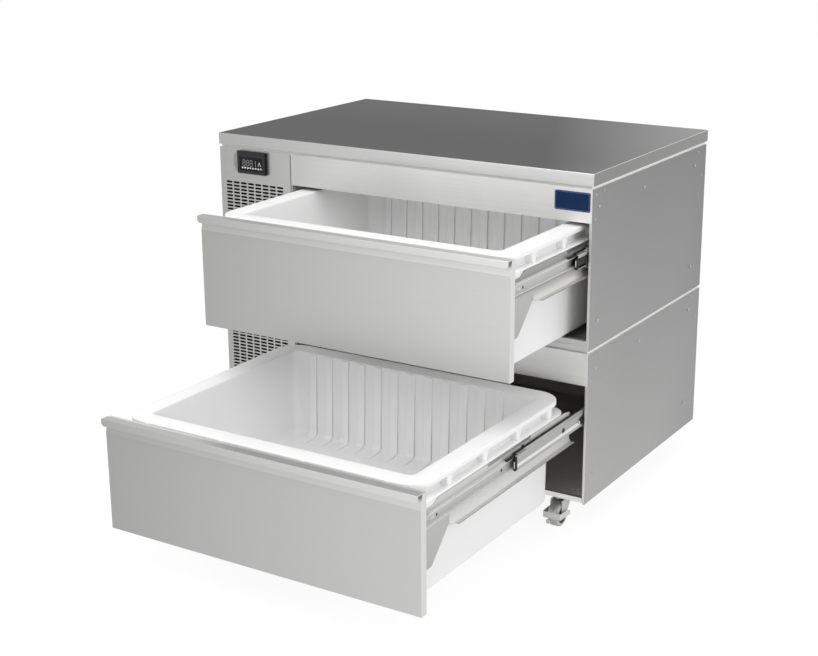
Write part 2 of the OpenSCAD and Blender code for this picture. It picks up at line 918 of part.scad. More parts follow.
// Insulated bin: double skin, broad rim, ribbed recess under it, ledge, straight body
module bin(z1, open) {
    y0 = drawer_y(open);
    rim_z = z1 - rim_top;
    ledge_z = z1 - plate_top;
    neck_half = rim_half - neck_in;
    neck_y = y0 + rim_start + neck_in;
    neck_l = rim_l - 2 * neck_in;
    low_z = z1 - body_bottom;
    floor_z = z1 - cav_floor;
    translate([bay_m, 0, 0])
        difference() {
            union() {
                round_slab(rim_half, y0 + rim_start, rim_l, rim_z - rim_t, rim_z, rim_r);
                round_slab(neck_half, neck_y, neck_l, ledge_z, rim_z - rim_t, rim_r - neck_in / 2);
                round_slab(ledge_half, y0 + ledge_start, ledge_l, ledge_z, ledge_z + ledge_t, rim_r);
                round_slab(body_half, y0 + body_start, body_l, low_z, ledge_z, body_r);
                for (sx = [-1, 1], i = [0 : 3], d = [-6, 6])
                    translate([sx * (rim_half + neck_half - 6) / 2, y0 + rib_start + i * rib_pitch + d,
                        (ledge_z + rim_z - rim_t) / 2])
                        cube([rim_half - neck_half - 2, 3, rim_z - rim_t - ledge_z], center = true);
            }
            round_slab(cav_half, y0 + cav_start, cav_l, floor_z, rim_z + 1, cav_r);
            difference() {
                union() {
                    round_slab(neck_half - skin_t, neck_y + skin_t, neck_l - 2 * skin_t,
                        ledge_z + ledge_t, rim_z - skin_t, rim_r - neck_in / 2 - skin_t);
                    round_slab(body_half - skin_t, neck_y + skin_t, neck_l - 2 * skin_t,
                        ledge_z - 1, ledge_z + ledge_t + 1, rim_r - neck_in / 2 - skin_t);
                    round_slab(body_half - skin_t, y0 + body_start + skin_t, body_l - 2 * skin_t,
                        low_z + skin_t, ledge_z, body_r - skin_t);
                }
                round_slab(cav_half + skin_t, y0 + cav_start - skin_t, cav_l + 2 * skin_t,
                    floor_z - skin_t, rim_z + 2, cav_r + skin_t);
            }
            for (sx = [-0.7, 0.7], sy = [0.11, 0.85])
                translate([sx * body_half, y0 + body_start + sy * body_l, low_z - 1])
                    cylinder(h = skin_t + 2, r = 8);
        }
}

module upper_bin() {
    color("#EFEFED")
    bin(up_t, upper_open);
}

module lower_bin() {
    color("#EFEFED")
    bin(low_t, lower_open);
}

// Compressor: domed shell with its outlet stub, on a base plate with four feet
module compressor(z0) {
    base = z0 + 0.4 + liner_t;
    translate([mach_x, 90, base]) {
        translate([0, 0, 14])
            rotate_extrude() {
                square([comp_r, comp_h - 60]);
                translate([0, comp_h - 60])
                    square([comp_r - 30, 30]);
                intersection() {
                    translate([comp_r - 30, comp_h - 60])
                        circle(30);
                    square([comp_r, comp_h]);
                }
            }
        translate([-comp_r - 13, -comp_r - 13, 10])
            cube([2 * comp_r + 26, 2 * comp_r + 26, 4.5]);
        for (sx = [-1, 1], sy = [-1, 1])
            translate([sx * comp_r, sy * comp_r, 0])
                cylinder(h = 10, r = 9);
        translate([comp_r - 20, 0, comp_h - 56])
            cylinder(h = 42, r = tube_r + 2);
        translate([-comp_r / 4, -1.3 * comp_r, 0.3 * comp_h])
            cube([comp_r / 2, 0.4 * comp_r, 0.3 * comp_h]);
    }
}

module upper_compressor() {
    color("#1C1C1E")
    compressor(up_b);
}

module lower_compressor() {
    color("#1C1C1E")
    compressor(low_b);
}

// Condenser: finned tubes, shroud with the fan's opening, and the fan's motor on its bracket
module condenser(z0) {
    y0 = face_y + 22;
    zb = z0 + 20;
    fan_z = zb + cond_h / 2;
    shroud_y = y0 + cond_d;
    for (i = [0 : 17])
        slab(mach_x - cond_w / 2 + 4 + i * (cond_w - 9) / 17, mach_x - cond_w / 2 + 5 + i * (cond_w - 9) / 17,
            y0, shroud_y, zb, zb + cond_h);
    for (k = [0 : 6])
        translate([mach_x - cond_w / 2, y0 + cond_d / 2, zb + 20 + k * (cond_h - 40) / 6])
            rotate([0, 90, 0])
                cylinder(h = cond_w, r = tube_r);
    difference() {
        slab(mach_x - cond_w / 2, mach_x + cond_w / 2, shroud_y, shroud_y + sheet, zb, zb + cond_h);
        translate([mach_x, shroud_y - 1, fan_z])
            rotate([-90, 0, 0])
                cylinder(h = 4, r = fan_r + 4);
    }
    for (s = [-1, 1])
        slab(mach_x + s * (cond_w / 2 - 3) - 3, mach_x + s * (cond_w / 2 - 3) + 3, shroud_y,
            shroud_y + 62, fan_z - 10, fan_z + 10);
    slab(mach_x - cond_w / 2, mach_x + cond_w / 2, shroud_y + 58, shroud_y + 62, fan_z - 10, fan_z + 10);
    translate([mach_x, shroud_y + 40, fan_z])
        rotate([-90, 0, 0])
            cylinder(h = 60, r = 28);
    translate([mach_x, shroud_y + 8, fan_z])
        rotate([-90, 0, 0])
            cylinder(h = 40, r = shaft_r);
}

module upper_condenser() {
    color("#6E7072")
    condenser(up_b);
}

module lower_condenser() {
    color("#6E7072")
    condenser(low_b);
}

// Fan rotor: hub with a bore and five pitched blades
module condenser_fan(z0) {
    translate([mach_x, face_y + 22 + cond_d + 12, z0 + 20 + cond_h / 2])
        rotate([-90, 0, 0])
            difference() {
                union() {
                    cylinder(h = 24, r = 24);
                    intersection() {
                        cylinder(h = 24, r = fan_r);
                        for (i = [0 : 4])
                            rotate([0, 0, 72 * i])
                                translate([fan_r / 2, 0, 12])
                                    rotate([25, 0, 0])
                                        cube([fan_r, 46, 2], center = true);
                    }
                }
                translate([0, 0, -1])
                    cylinder(h = 26, r = shaft_r + shaft_fit);
            }
}

module upper_condenser_fan() {
    color("#2A2B2D")
    condenser_fan(up_b);
}

module lower_condenser_fan() {
    color("#2A2B2D")
    condenser_fan(low_b);
}

// Evaporator: flat bank of tubes between two headers, hung from two straps under the module's roof
module evaporator(z1) {
    z = z1 - 5 * tube_r;
    half = 0.81 * plate_half;
    runs = 10;
    y0 = -(runs - 1) / 2 * evap_pitch - 50;
    for (i = [0 : runs - 1])
        translate([bay_m - half, y0 + i * evap_pitch, z])
            rotate([0, 90, 0])
                cylinder(h = 2 * half, r = tube_r);
    for (sx = [-1, 1])
        translate([bay_m + sx * half, y0 - 12, z])
            rotate([-90, 0, 0])
                cylinder(h = (runs - 1) * evap_pitch + 24, r = tube_r + 2);
    for (x = [bay_m - half / 2, bay_m + half / 2]) {
        slab(x, x + 16, y0 - 12, y0 + (runs - 1) * evap_pitch + 12, z + 3, z + 5);
        for (y = [y0 - 12, y0 + (runs - 1) * evap_pitch + 10])
            slab(x, x + 16, y, y + 2, z + 3, z1 - sheet - 0.2 - liner_t);
    }
}

module upper_evaporator() {
    color("#B07A55")
    evaporator(up_t);
}

module lower_evaporator() {
    color("#B07A55")
    evaporator(low_t);
}

// Tube run with round ends between two points along one axis
module run_z(x, y, z0, z1)
    translate([x, y, z0])
        cylinder(h = z1 - z0, r = tube_r);

module run_y(x, z, y0, y1)
    translate([x, y0, z])
        rotate([-90, 0, 0])
            cylinder(h = y1 - y0, r = tube_r);

// Discharge tubes from each compressor forward to its condenser
module pipework() {
    color("#B07A55")
    for (b = [low_b, up_b]) {
        z_stub = b + 0.4 + liner_t + comp_h - 14;
        z_hi = z_stub + 28;
        x = mach_x + comp_r - 20;
        run_z(x, 90, z_stub, z_hi);
        translate([x, 90, z_hi])
            sphere(tube_r);
        run_y(x, z_hi, -180, 90);
        translate([x, -180, z_hi])
            sphere(tube_r);
        run_z(x, -180, b + 60, z_hi);
        translate([x, -180, b + 60])
            sphere(tube_r);
        run_y(x, b + 60, face_y + 22 + cond_d + sheet, -180);
    }
}

// Castor top plates with their kingpins
module castor_plates() {
    color("#B4B6B5")
    for (sx = [-1, 1], c = [[castor_x, -castor_front], [castor_rear_x, castor_rear]])
        translate([sx * c[0], c[1], 0]) {
            translate([-45, -35, castor_h - castor_plate_t])
                cube([90, 70, castor_plate_t + 0.4]);
            translate([0, 0, castor_h - castor_plate_t - 16])
                cylinder(h = 16.5, r = king_r);
            translate([0, 0, castor_h - castor_plate_t - 19])
                cylinder(h = 4, r = king_r + 4);
        }
}

// Fork of a castor: swivel head, crown, two legs and the axle bolt
module castor_fork() {
    head_z = castor_h - castor_plate_t;
    leg_x = wheel_w / 2 + 1.5;
    difference() {
        union() {
            translate([0, 0, head_z - 10])
                cylinder(h = 9.5, r = 24);
            translate([-leg_x - leg_t, -22, head_z - 14])
                cube([2 * (leg_x + leg_t), 40, 4.5]);
        }
        translate([0, 0, head_z - 15])
            cylinder(h = 16, r = king_r + 0.1);
    }
    for (s = [-1, 1])
        along_x(s > 0 ? leg_x : -leg_x - leg_t, s > 0 ? leg_x + leg_t : -leg_x) {
            polygon([[-22, head_z - 10], [18, head_z - 10], [18, head_z - 18],
                [-trail + 8, wheel_r - 4], [-trail - 9, wheel_r], [-trail - 8, wheel_r + 22]]);
            translate([-trail, wheel_r])
                circle(9);
        }
    translate([-pedal_w / 2, -trail, wheel_r])
        rotate([0, 90, 0])
            cylinder(h = pedal_w, r = axle_r);
}

module castor_fork_fl() {
    color("#AEB0AF")
    translate([-castor_x, -castor_front, 0])
        castor_fork();
}

module castor_fork_fr() {
    color("#AEB0AF")
    translate([castor_x, -castor_front, 0])
        castor_fork();
}

module castor_fork_rl() {
    color("#AEB0AF")
    translate([-castor_rear_x, castor_rear, 0])
        castor_fork();
}

module castor_fork_rr() {
    color("#AEB0AF")
    translate([castor_rear_x, castor_rear, 0])
        castor_fork();
}

// Wheel of a castor: hub with a bore, tread with rounded shoulders
module castor_wheel() {
    translate([0, -trail, wheel_r])
        rotate([0, 90, 0])
            rotate_extrude()
                difference() {
                    union() {
                        translate([0, -wheel_w / 2 + 5])
                            square([wheel_r, wheel_w - 10]);
                        translate([0, -wheel_w / 2])
                            square([wheel_r - 5, wheel_w]);
                        for (s = [-1, 1])
                            translate([wheel_r - 5, s * (wheel_w / 2 - 5)])
                                circle(5);
                    }
                    translate([-10, -wheel_w])
                        square([10 + axle_r + axle_fit, 2 * wheel_w]);
                    for (s = [-1, 1])
                        translate([(wheel_r + axle_r) / 2 + 1, s * wheel_w / 2])
                            square([wheel_r - axle_r - 14, 5], center = true);
                }
}

module castor_wheel_fl() {
    color("#5C5D60")
    translate([-castor_x, -castor_front, 0])
        castor_wheel();
}

module castor_wheel_fr() {
    color("#5C5D60")
    translate([castor_x, -castor_front, 0])
        castor_wheel();
}

module castor_wheel_rl() {
    color("#5C5D60")
    translate([-castor_rear_x, castor_rear, 0])
        castor_wheel();
}

module castor_wheel_rr() {
    color("#5C5D60")
    translate([castor_rear_x, castor_rear, 0])
        castor_wheel();
}

// Brake pedal: stirrup round the wheel, pivoted on the axle, with a tread plate in front
module castor_brake() {
    arm_x = pedal_w / 2 - 4.5;
    front = -trail - wheel_r - 2;
    difference() {
        union() {
            for (s = [-1, 1])
                along_x(s > 0 ? arm_x : -arm_x - 2.5, s > 0 ? arm_x + 2.5 : -arm_x)
                    polygon([[-4, 34], [-4, 24], [-trail - 9, 20], [front, 24], [front, 41],
                        [-trail - 9, 40]]);
            slab(-pedal_w / 2, pedal_w / 2, front - 2, front + 0.5, 24, 43);
        }
        translate([-pedal_w, -trail, wheel_r])
            rotate([0, 90, 0])
                cylinder(h = 2 * pedal_w, r = axle_r + axle_fit);
    }
}

module castor_brake_fl() {
    color("#C2C2C1")
    translate([-castor_x, -castor_front, 0])
        castor_brake();
}

module castor_brake_fr() {
    color("#C2C2C1")
    translate([castor_x, -castor_front, 0])
        castor_brake();
}

worktop();
spacer_frames();
label_plate();
panel_screws();
pipework();
castor_plates();
upper_side_right();
upper_side_left();
upper_back_panel();
upper_carcass();
upper_sill();
upper_fascia();
upper_engine_panel();
upper_controller();
upper_display();
upper_lid();
upper_lid_gasket();
upper_slide_outer();
upper_compressor();
upper_condenser();
upper_condenser_fan();
upper_evaporator();
lower_side_right();
lower_side_left();
lower_back_panel();
lower_carcass();
lower_sill();
lower_fascia();
lower_engine_panel();
lower_controller();
lower_display();
lower_lid();
lower_lid_gasket();
lower_slide_outer();
lower_compressor();
lower_condenser();
lower_condenser_fan();
lower_evaporator();
upper_drawer_front();
upper_handle_lip();
upper_carriage();
upper_bin();
upper_slide_mid();
upper_slide_inner();
lower_drawer_front();
lower_handle_lip();
lower_carriage();
lower_bin();
lower_slide_mid();
lower_slide_inner();
castor_fork_fl();
castor_fork_fr();
castor_fork_rl();
castor_fork_rr();
castor_wheel_fl();
castor_wheel_fr();
castor_wheel_rl();
castor_wheel_rr();
castor_brake_fl();
castor_brake_fr();
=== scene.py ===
import math

import bmesh
import bpy
from mathutils import Matrix, Vector


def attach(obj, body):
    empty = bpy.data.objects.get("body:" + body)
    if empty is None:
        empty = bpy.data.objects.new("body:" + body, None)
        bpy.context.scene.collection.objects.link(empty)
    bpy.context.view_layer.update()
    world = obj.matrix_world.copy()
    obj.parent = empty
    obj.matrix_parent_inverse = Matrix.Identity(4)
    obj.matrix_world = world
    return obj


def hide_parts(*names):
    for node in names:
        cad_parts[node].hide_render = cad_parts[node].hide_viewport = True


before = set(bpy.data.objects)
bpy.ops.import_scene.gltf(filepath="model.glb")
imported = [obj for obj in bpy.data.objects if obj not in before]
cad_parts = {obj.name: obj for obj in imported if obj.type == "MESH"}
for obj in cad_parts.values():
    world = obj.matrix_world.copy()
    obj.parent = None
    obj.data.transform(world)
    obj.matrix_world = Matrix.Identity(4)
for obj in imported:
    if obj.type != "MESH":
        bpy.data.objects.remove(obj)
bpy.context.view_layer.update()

# Camera. It stands in front of the cabinet and to its right, above the worktop, and is
# turned and shifted so that the counter falls in the frame as it does in the photograph.
turn, rise, roll = 0.549283, 0.287598, -0.00226
back = Vector((math.sin(turn) * math.cos(rise), -math.cos(turn) * math.cos(rise), math.sin(rise)))
level = Vector((math.cos(turn), math.sin(turn), 0))
upright = back.cross(level)
across = level * math.cos(roll) + upright * math.sin(roll)
above = upright * math.cos(roll) - level * math.sin(roll)
eye = bpy.data.objects.new("camera", bpy.data.cameras.new("camera"))
bpy.context.scene.collection.objects.link(eye)
stand = Matrix((across, above, back)).transposed().to_4x4()
stand.translation = (2.00981, -3.43598, 1.58008)
eye.matrix_world = stand
eye.data.sensor_width = 36
eye.data.lens = 66.338
eye.data.shift_x = -0.03119
eye.data.shift_y = -0.02148
eye.data.clip_end = 60
bpy.context.scene.camera = eye
bpy.context.scene.view_settings.view_transform = "Standard"


# Floor and backdrop. A plain white studio sweep: the camera and reflections see it white, and the
# floor still darkens a little where the counter shades it.
def linear(code):
    """An sRGB hex colour as the linear one that a shader takes."""
    parts = [int(code[i:i + 2], 16) / 255 for i in (1, 3, 5)]
    return tuple(p / 12.92 if p <= 0.04045 else ((p + 0.055) / 1.055) ** 2.4 for p in parts) + (1,)


def add(tree, kind, values=None, links=None, **settings):
    """Adds a node with its settings, its sockets' values and its links."""
    made = tree.nodes.new(kind)
    for key, value in settings.items():
        setattr(made, key, value)
    for socket, value in (values or {}).items():
        made.inputs[socket].default_value = value
    for socket, source in (links or {}).items():
        tree.links.new(source, made.inputs[socket])
    return made


def seen_rays(tree):
    """1 for the rays that the camera, a reflection or a clear piece sends, and 0 for the rest."""
    path = add(tree, "ShaderNodeLightPath")
    seen = path.outputs["Is Camera Ray"]
    for kind in ("Is Glossy Ray", "Is Transmission Ray"):
        seen = add(tree, "ShaderNodeMath", links={0: seen, 1: path.outputs[kind]},
            operation="MAXIMUM").outputs[0]
    return seen


def let_go():
    """Deselects every object, so that the next one is alone."""
    bpy.ops.object.select_all(action="DESELECT")


def settle():
    """Puts the active object's place, turn and scale into its mesh."""
    bpy.ops.object.transform_apply(location=True, rotation=True, scale=True)


let_go()
bpy.ops.mesh.primitive_plane_add(size=40, location=(0, 0, -0.0005))
floor = bpy.context.object
floor.name = "studio_floor"
settle()
sweep = bpy.data.materials.new("white studio sweep")
sweep.use_nodes = True
tree = sweep.node_tree
tree.nodes.clear()
matt = add(tree, "ShaderNodeBsdfDiffuse", {"Color": linear("#F4F4F4")})
bright = add(tree, "ShaderNodeEmission", {"Color": (1, 1, 1, 1), "Strength": 1.06})
shaded = add(tree, "ShaderNodeMixShader", {"Fac": 0.86}, {1: matt.outputs[0], 2: bright.outputs[0]})
whole = add(tree, "ShaderNodeMixShader", links={0: seen_rays(tree), 1: matt.outputs[0],
    2: shaded.outputs[0]})
add(tree, "ShaderNodeOutputMaterial", links={"Surface": whole.outputs[0]})
floor.data.materials.append(sweep)

world = bpy.data.worlds.new("studio")
bpy.context.scene.world = world
world.use_nodes = True
tree = world.node_tree
tree.nodes.clear()
soft = add(tree, "ShaderNodeBackground", {"Color": linear("#F5F5F5"), "Strength": 0.75})
white = add(tree, "ShaderNodeBackground", {"Color": (1, 1, 1, 1), "Strength": 1.0})
both = add(tree, "ShaderNodeMixShader", links={0: seen_rays(tree), 1: soft.outputs[0],
    2: white.outputs[0]})
add(tree, "ShaderNodeOutputWorld", links={"Surface": both.outputs[0]})


# Lamps. Large soft boxes: the key stands in front and to the right, a weaker one lights the right
# side, and one overhead fills the bins.
def soft_box(name, place, aim, wide, high, watts):
    """An area lamp that looks at a point."""
    lamp = bpy.data.lights.new(name, "AREA")
    lamp.shape = "RECTANGLE"
    lamp.size, lamp.size_y, lamp.energy = wide, high, watts
    lamp_object = bpy.data.objects.new(name, lamp)
    bpy.context.scene.collection.objects.link(lamp_object)
    lamp_object.location = place
    lamp_object.rotation_euler = (Vector(aim) - Vector(place)).to_track_quat("-Z", "Y").to_euler()


soft_box("key_box", (1.1, -4.0, 3.5), (0.1, -0.7, 0.4), 2.4, 1.8, 42)
soft_box("side_box", (4.6, -1.2, 2.2), (0.5, -0.4, 0.4), 2.2, 1.8, 33)
soft_box("top_box", (0.2, -2.1, 4.1), (0.1, -0.8, 0.4), 2.6, 2.6, 52)


# Worktop. Stainless steel sheet folded down on four sides into a tray, with welded and polished
# corners. The top is brushed from end to end and painted dark as shade, with a painted sheen rising
# toward its right-hand back corner; the front edge is painted lighter as a lit face, with a painted
# sweep lighter toward the right, and the ends are painted darker as shaded faces.
def block(name, low, high):
    """A cube primitive between two corners, on its own, with its place in its mesh."""
    let_go()
    middle = [(a + b) / 2 for a, b in zip(low, high)]
    bpy.ops.mesh.primitive_cube_add(size=1, location=middle)
    made = bpy.context.object
    made.name = name
    made.scale = [abs(b - a) for a, b in zip(low, high)]
    settle()
    return made


def edit():
    """Into edit mode."""
    bpy.ops.object.mode_set(mode="EDIT")


def leave():
    """Out of edit mode."""
    bpy.ops.object.mode_set(mode="OBJECT")


def pick(kind, test):
    """Selects the verts, edges or faces that pass the test, and nothing else, in edit mode."""
    mode = {"verts": "VERT", "edges": "EDGE", "faces": "FACE"}[kind]
    bpy.ops.mesh.select_mode(type=mode)
    bpy.ops.mesh.select_all(action="DESELECT")
    mesh = bpy.context.edit_object.data
    shape = bmesh.from_edit_mesh(mesh)
    for part in getattr(shape, kind):
        if test(part):
            part.select_set(True)
    shape.select_flush_mode()
    bmesh.update_edit_mesh(mesh)


def middle_of(part):
    """Middle of an edge or face."""
    return sum((v.co for v in part.verts), Vector()) / len(part.verts)


def runs(edge, axis):
    """True for an edge along one axis."""
    way = edge.verts[1].co - edge.verts[0].co
    return abs(way[axis]) > 0.999 * way.length


def bevel(width, segments):
    """Rounds the picked edges, or the edges of the picked faces."""
    bpy.ops.mesh.bevel(offset=width, segments=segments, affect="EDGES")


def inset(thickness):
    """Draws a smaller copy inside the picked faces, and picks that."""
    bpy.ops.mesh.inset(thickness=thickness)


def extrude(*way):
    """Extrudes what is picked."""
    bpy.ops.mesh.extrude_region_move(TRANSFORM_OT_translate={"value": way})


def dress(made, *materials):
    """Gives a piece its materials, in the order of the numbers that its faces use."""
    for material in materials:
        made.data.materials.append(material)


def finish(made, body, slot_name, material, *nodes):
    """Gives a piece its body, the nodes that it stands for, and a material if it has none. slot_name is not
    used.
    """
    leave()
    if not made.data.materials:
        dress(made, material)
    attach(made, body)
    if nodes:
        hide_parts(*nodes)


def smooth(made, degrees=30):
    """Smooth shading with sharp edges kept."""
    leave()
    let_go()
    made.select_set(True)
    bpy.context.view_layer.objects.active = made
    bpy.ops.object.shade_smooth_by_angle(angle=math.radians(degrees))


def brushed(name, start, end, way, reach, grain, rough=0.36, metal=0.85, rim=1.0, streaks=0.04):
    """Cold-rolled stainless sheet, brushed one way. What the eye gets of it is a slow change of tone
    over the sheet, from start to end where the place along way goes through reach, which is painted
    light and shade, and fine streaks that vary its tone and gloss. A brush line is under 0.1 mm, so the
    streaks are drawn about 2 mm apart, where they can show."""
    made = bpy.data.materials.new(name)
    made.use_nodes = True
    tree = made.node_tree
    shader = tree.nodes["Principled BSDF"]
    shader.inputs["Metallic"].default_value = metal
    shader.inputs["Specular Tint"].default_value = (rim, rim, rim, 1)
    where = add(tree, "ShaderNodeTexCoord")
    reach_in = add(tree, "ShaderNodeVectorMath", {1: way}, {0: where.outputs["Object"]},
        operation="DOT_PRODUCT")
    share = add(tree, "ShaderNodeMapRange", {"From Min": reach[0], "From Max": reach[1]},
        {"Value": reach_in.outputs["Value"]})
    tone = add(tree, "ShaderNodeMix", {6: linear(start), 7: linear(end)}, {0: share.outputs[0]},
        data_type="RGBA")
    along = add(tree, "ShaderNodeMapping", {"Scale": grain}, {"Vector": where.outputs["Object"]})
    streak = add(tree, "ShaderNodeTexNoise", {"Scale": 1.0, "Detail": 5.0, "Roughness": 0.6},
        {"Vector": along.outputs[0]})
    cloud = add(tree, "ShaderNodeTexNoise", {"Scale": 3.0, "Detail": 2.0},
        {"Vector": where.outputs["Object"]})
    both = add(tree, "ShaderNodeMath", {1: 0.35}, {0: cloud.outputs["Fac"], 2: streak.outputs["Fac"]},
        operation="MULTIPLY_ADD")
    level = add(tree, "ShaderNodeMapRange", {"From Min": 0.42, "From Max": 0.93,
        "To Min": 1 - streaks, "To Max": 1 + streaks}, {"Value": both.outputs[0]})
    colour = add(tree, "ShaderNodeVectorMath", links={0: tone.outputs[2], "Scale": level.outputs[0]},
        operation="SCALE")
    tree.links.new(colour.outputs[0], shader.inputs["Base Color"])
    gloss = add(tree, "ShaderNodeMapRange", {"To Min": rough - 0.06, "To Max": rough + 0.08},
        {"Value": streak.outputs["Fac"]})
    tree.links.new(gloss.outputs[0], shader.inputs["Roughness"])
    bump = add(tree, "ShaderNodeBump", {"Strength": 0.06, "Distance": 0.0003},
        {"Height": streak.outputs["Fac"]})
    tree.links.new(bump.outputs[0], shader.inputs["Normal"])
    return made


# Painted light and shade: a dark top with a painted sheen toward the right back, a lighter front edge,
# darker ends.
worktop_top_painted_shade = brushed("stainless worktop, brushed, painted shade and sheen", "#787878", "#B6B6B6", (1, 0.45, 0), (0.26, 0.66),
    (3, 420, 3), 0.42, 0.85, 0.3)
worktop_edge_painted_light = brushed("stainless worktop edge, painted light", "#B1B1AF", "#D5D5D3", (1, 0, 0), (-0.5, 0.2),
    (3, 3, 300), 0.34)
worktop_end_painted_shade = brushed("stainless worktop end, painted shade", "#8F8F8E", "#848483", (0, 1, 0), (-0.35, 0.35),
    (3, 3, 300), 0.36)
tray = block("worktop_tray", (-0.55, -0.35, 0.8705), (0.55, 0.35, 0.9))
edit()
pick("edges", lambda e: runs(e, 2))
bevel(0.002, 3)
pick("edges", lambda e: all(v.co.z > 0.899 for v in e.verts) and len(e.link_faces) == 2
    and any(abs(f.normal.z) < 0.5 for f in e.link_faces))
bevel(0.0015, 3)
pick("faces", lambda f: f.normal.z < -0.9)
inset(0.018)
extrude(0, 0, 0.026)
leave()
dress(tray, worktop_edge_painted_light, worktop_top_painted_shade, worktop_end_painted_shade)
for face in tray.data.polygons:
    if face.normal.z > 0.99 and face.center.z > 0.89:
        face.material_index = 1
    elif abs(face.normal.x) > 0.8:
        face.material_index = 2
smooth(tray)
finish(tray, "cabinet", "worktop_steel", worktop_edge_painted_light, "worktop")


# Spacer frames. Pressed steel rings that show as pale lines between the stacked parts, painted
# near white as painted light for their bright, lit faces.
def carry(material, *nodes):
    """Gives CAD nodes a material. A name stands for itself, or for the upper_ and lower_ nodes."""
    known = [n for name in nodes for n in (name, "upper_" + name, "lower_" + name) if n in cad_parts]
    for held in [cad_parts[n] for n in known]:
        if not held.material_slots:
            dress(held, material)
        for place in held.material_slots:
            place.material = material


def coated(name, pale, dark, grit, rough, depth=0.0003, metal=0.0):
    """Coated or moulded surface: a fine grain in the coat, and slow changes of tone."""
    made = bpy.data.materials.new(name)
    made.use_nodes = True
    tree = made.node_tree
    shader = tree.nodes["Principled BSDF"]
    shader.inputs["Metallic"].default_value = metal
    where = add(tree, "ShaderNodeTexCoord")
    grain = add(tree, "ShaderNodeTexNoise", {"Scale": grit, "Detail": 3.0},
        {"Vector": where.outputs["Object"]})
    cloud = add(tree, "ShaderNodeTexNoise", {"Scale": 4.0, "Detail": 2.0},
        {"Vector": where.outputs["Object"]})
    colour = add(tree, "ShaderNodeMix", {6: linear(dark), 7: linear(pale)},
        {0: cloud.outputs["Fac"]}, data_type="RGBA")
    tree.links.new(colour.outputs[2], shader.inputs["Base Color"])
    gloss = add(tree, "ShaderNodeMapRange", {"To Min": rough - 0.07, "To Max": rough + 0.07},
        {"Value": grain.outputs["Fac"]})
    tree.links.new(gloss.outputs[0], shader.inputs["Roughness"])
    bump = add(tree, "ShaderNodeBump", {"Strength": 0.25, "Distance": depth},
        {"Height": grain.outputs["Fac"]})
    tree.links.new(bump.outputs[0], shader.inputs["Normal"])
    return made


def dull(material, level):
    """Weakens a dark coating's sheen."""
    material.node_tree.nodes["Principled BSDF"].inputs["Specular IOR Level"].default_value = level


carry(coated("spacer steel, painted light", "#F4F4F2", "#ECECEA", 900, 0.5), "spacer_frames")

# Side panels. Shallow stainless trays that close the cabinet's sides, with a narrow flange turned
# round to the front. Their faces are brushed from front to back and painted darker toward the top
# and back, a painted shade; the flange and edge faces are painted lighter, as lit faces.
# Painted shade on the side faces, darker toward top and back; a lighter copy, painted light, on the
# flanges.
side_face_painted_shade = brushed("stainless side, brushed, painted shade", "#AFAFAE", "#7E7E7F", (0, 0.66, 1), (-0.15, 1.09),
    (3, 3, 350), 0.42)
side_flange_painted_light = brushed("stainless side flange, painted light", "#D2D2CF", "#DADAD7", (0, 0, 1), (0.08, 0.86), (3, 3, 200),
    0.36)
for unit, low, high in (("upper", 0.471, 0.862), ("lower", 0.078, 0.464)):
    for side, x_in, x_out in (("right", 0.541, 0.547), ("left", -0.541, -0.547)):
        panel = block(f"{unit}_side_tray_{side}", (min(x_in, x_out), -0.3488, low),
            (max(x_in, x_out), 0.35, high))
        edit()
        pick("edges", lambda e: all(abs(v.co.x) > 0.546 for v in e.verts))
        bevel(0.0009, 2)
        pick("faces", lambda f: all(abs(v.co.x) < 0.5415 for v in f.verts))
        inset(0.0012)
        extrude(0.0046 if side == "right" else -0.0046, 0, 0)
        leave()
        dress(panel, side_flange_painted_light, side_face_painted_shade)
        for face in panel.data.polygons:
            face.material_index = 1 if abs(face.normal.x) > 0.9 else 0
        smooth(panel)
        finish(panel, "cabinet", "side_steel", side_flange_painted_light, f"{unit}_side_{side}")


# Screws. Stainless pan heads that hold the side panels, five to a panel, and smaller rivet heads
# along the panels' edges.
def merge(name, pieces):
    """Joins pieces into one object."""
    if bpy.context.mode != "OBJECT":
        leave()
    let_go()
    for piece in pieces:
        piece.select_set(True)
    bpy.context.view_layer.objects.active = pieces[0]
    if len(pieces) > 1:
        bpy.ops.object.join()
    made = bpy.context.view_layer.objects.active
    made.name = name
    return made


def twin(piece, change):
    """A copy of a piece, with its own mesh, changed by a matrix."""
    copy = piece.copy()
    copy.data = piece.data.copy()
    bpy.context.scene.collection.objects.link(copy)
    copy.data.transform(change)
    return copy


def cylinder(name, sides, radius, depth, place, turned=(0, 0, 0), **settings):
    """A cylinder primitive on its own, along Z before it is turned, with its place in its mesh."""
    let_go()
    bpy.ops.mesh.primitive_cylinder_add(vertices=sides, radius=radius, depth=depth, location=place,
        rotation=[math.radians(angle) for angle in turned], **settings)
    made = bpy.context.object
    made.name = name
    settle()
    return made


screw_steel = coated("stainless screw, bright", "#C9C9C7", "#AFAFAD", 700, 0.3, 0.0001, 0.9)
heads = []
first = cylinder("screw", 20, 0.0042, 0.002, (0, 0, 0.001))
edit()
pick("faces", lambda f: f.normal.z > 0.9)
bevel(0.0009, 3)
pick("faces", lambda f: f.normal.z > 0.9 and len(f.verts) > 8)
inset(0.0013)
extrude(0, 0, -0.0007)
leave()
spots = [(-0.310, 0.346), (-0.054, 0.346), (0.273, 0.345), (-0.304, 0.068), (0.273, 0.0695)]
small = [(-0.329, 0.3776), (-0.330, 0.319), (0.319, 0.312), (-0.286, 0.380), (0.2935, 0.378)]
for base, share in ((0.083, 381 / 391), (0.471, 1.0)):
    for side in (1, -1):
        for (y, z), size in [(s, 1.0) for s in spots] + [(s, 0.62) for s in small]:
            heads.append(twin(first, Matrix.Translation((0.547 * side, y, base + z * share))
                @ Matrix.Rotation(math.radians(90 * side), 4, "Y") @ Matrix.Scale(size, 4)))
bpy.data.objects.remove(first)
screws = merge("side_screw_heads", heads)
smooth(screws)
finish(screws, "cabinet", "screw_steel", screw_steel, "panel_screws")
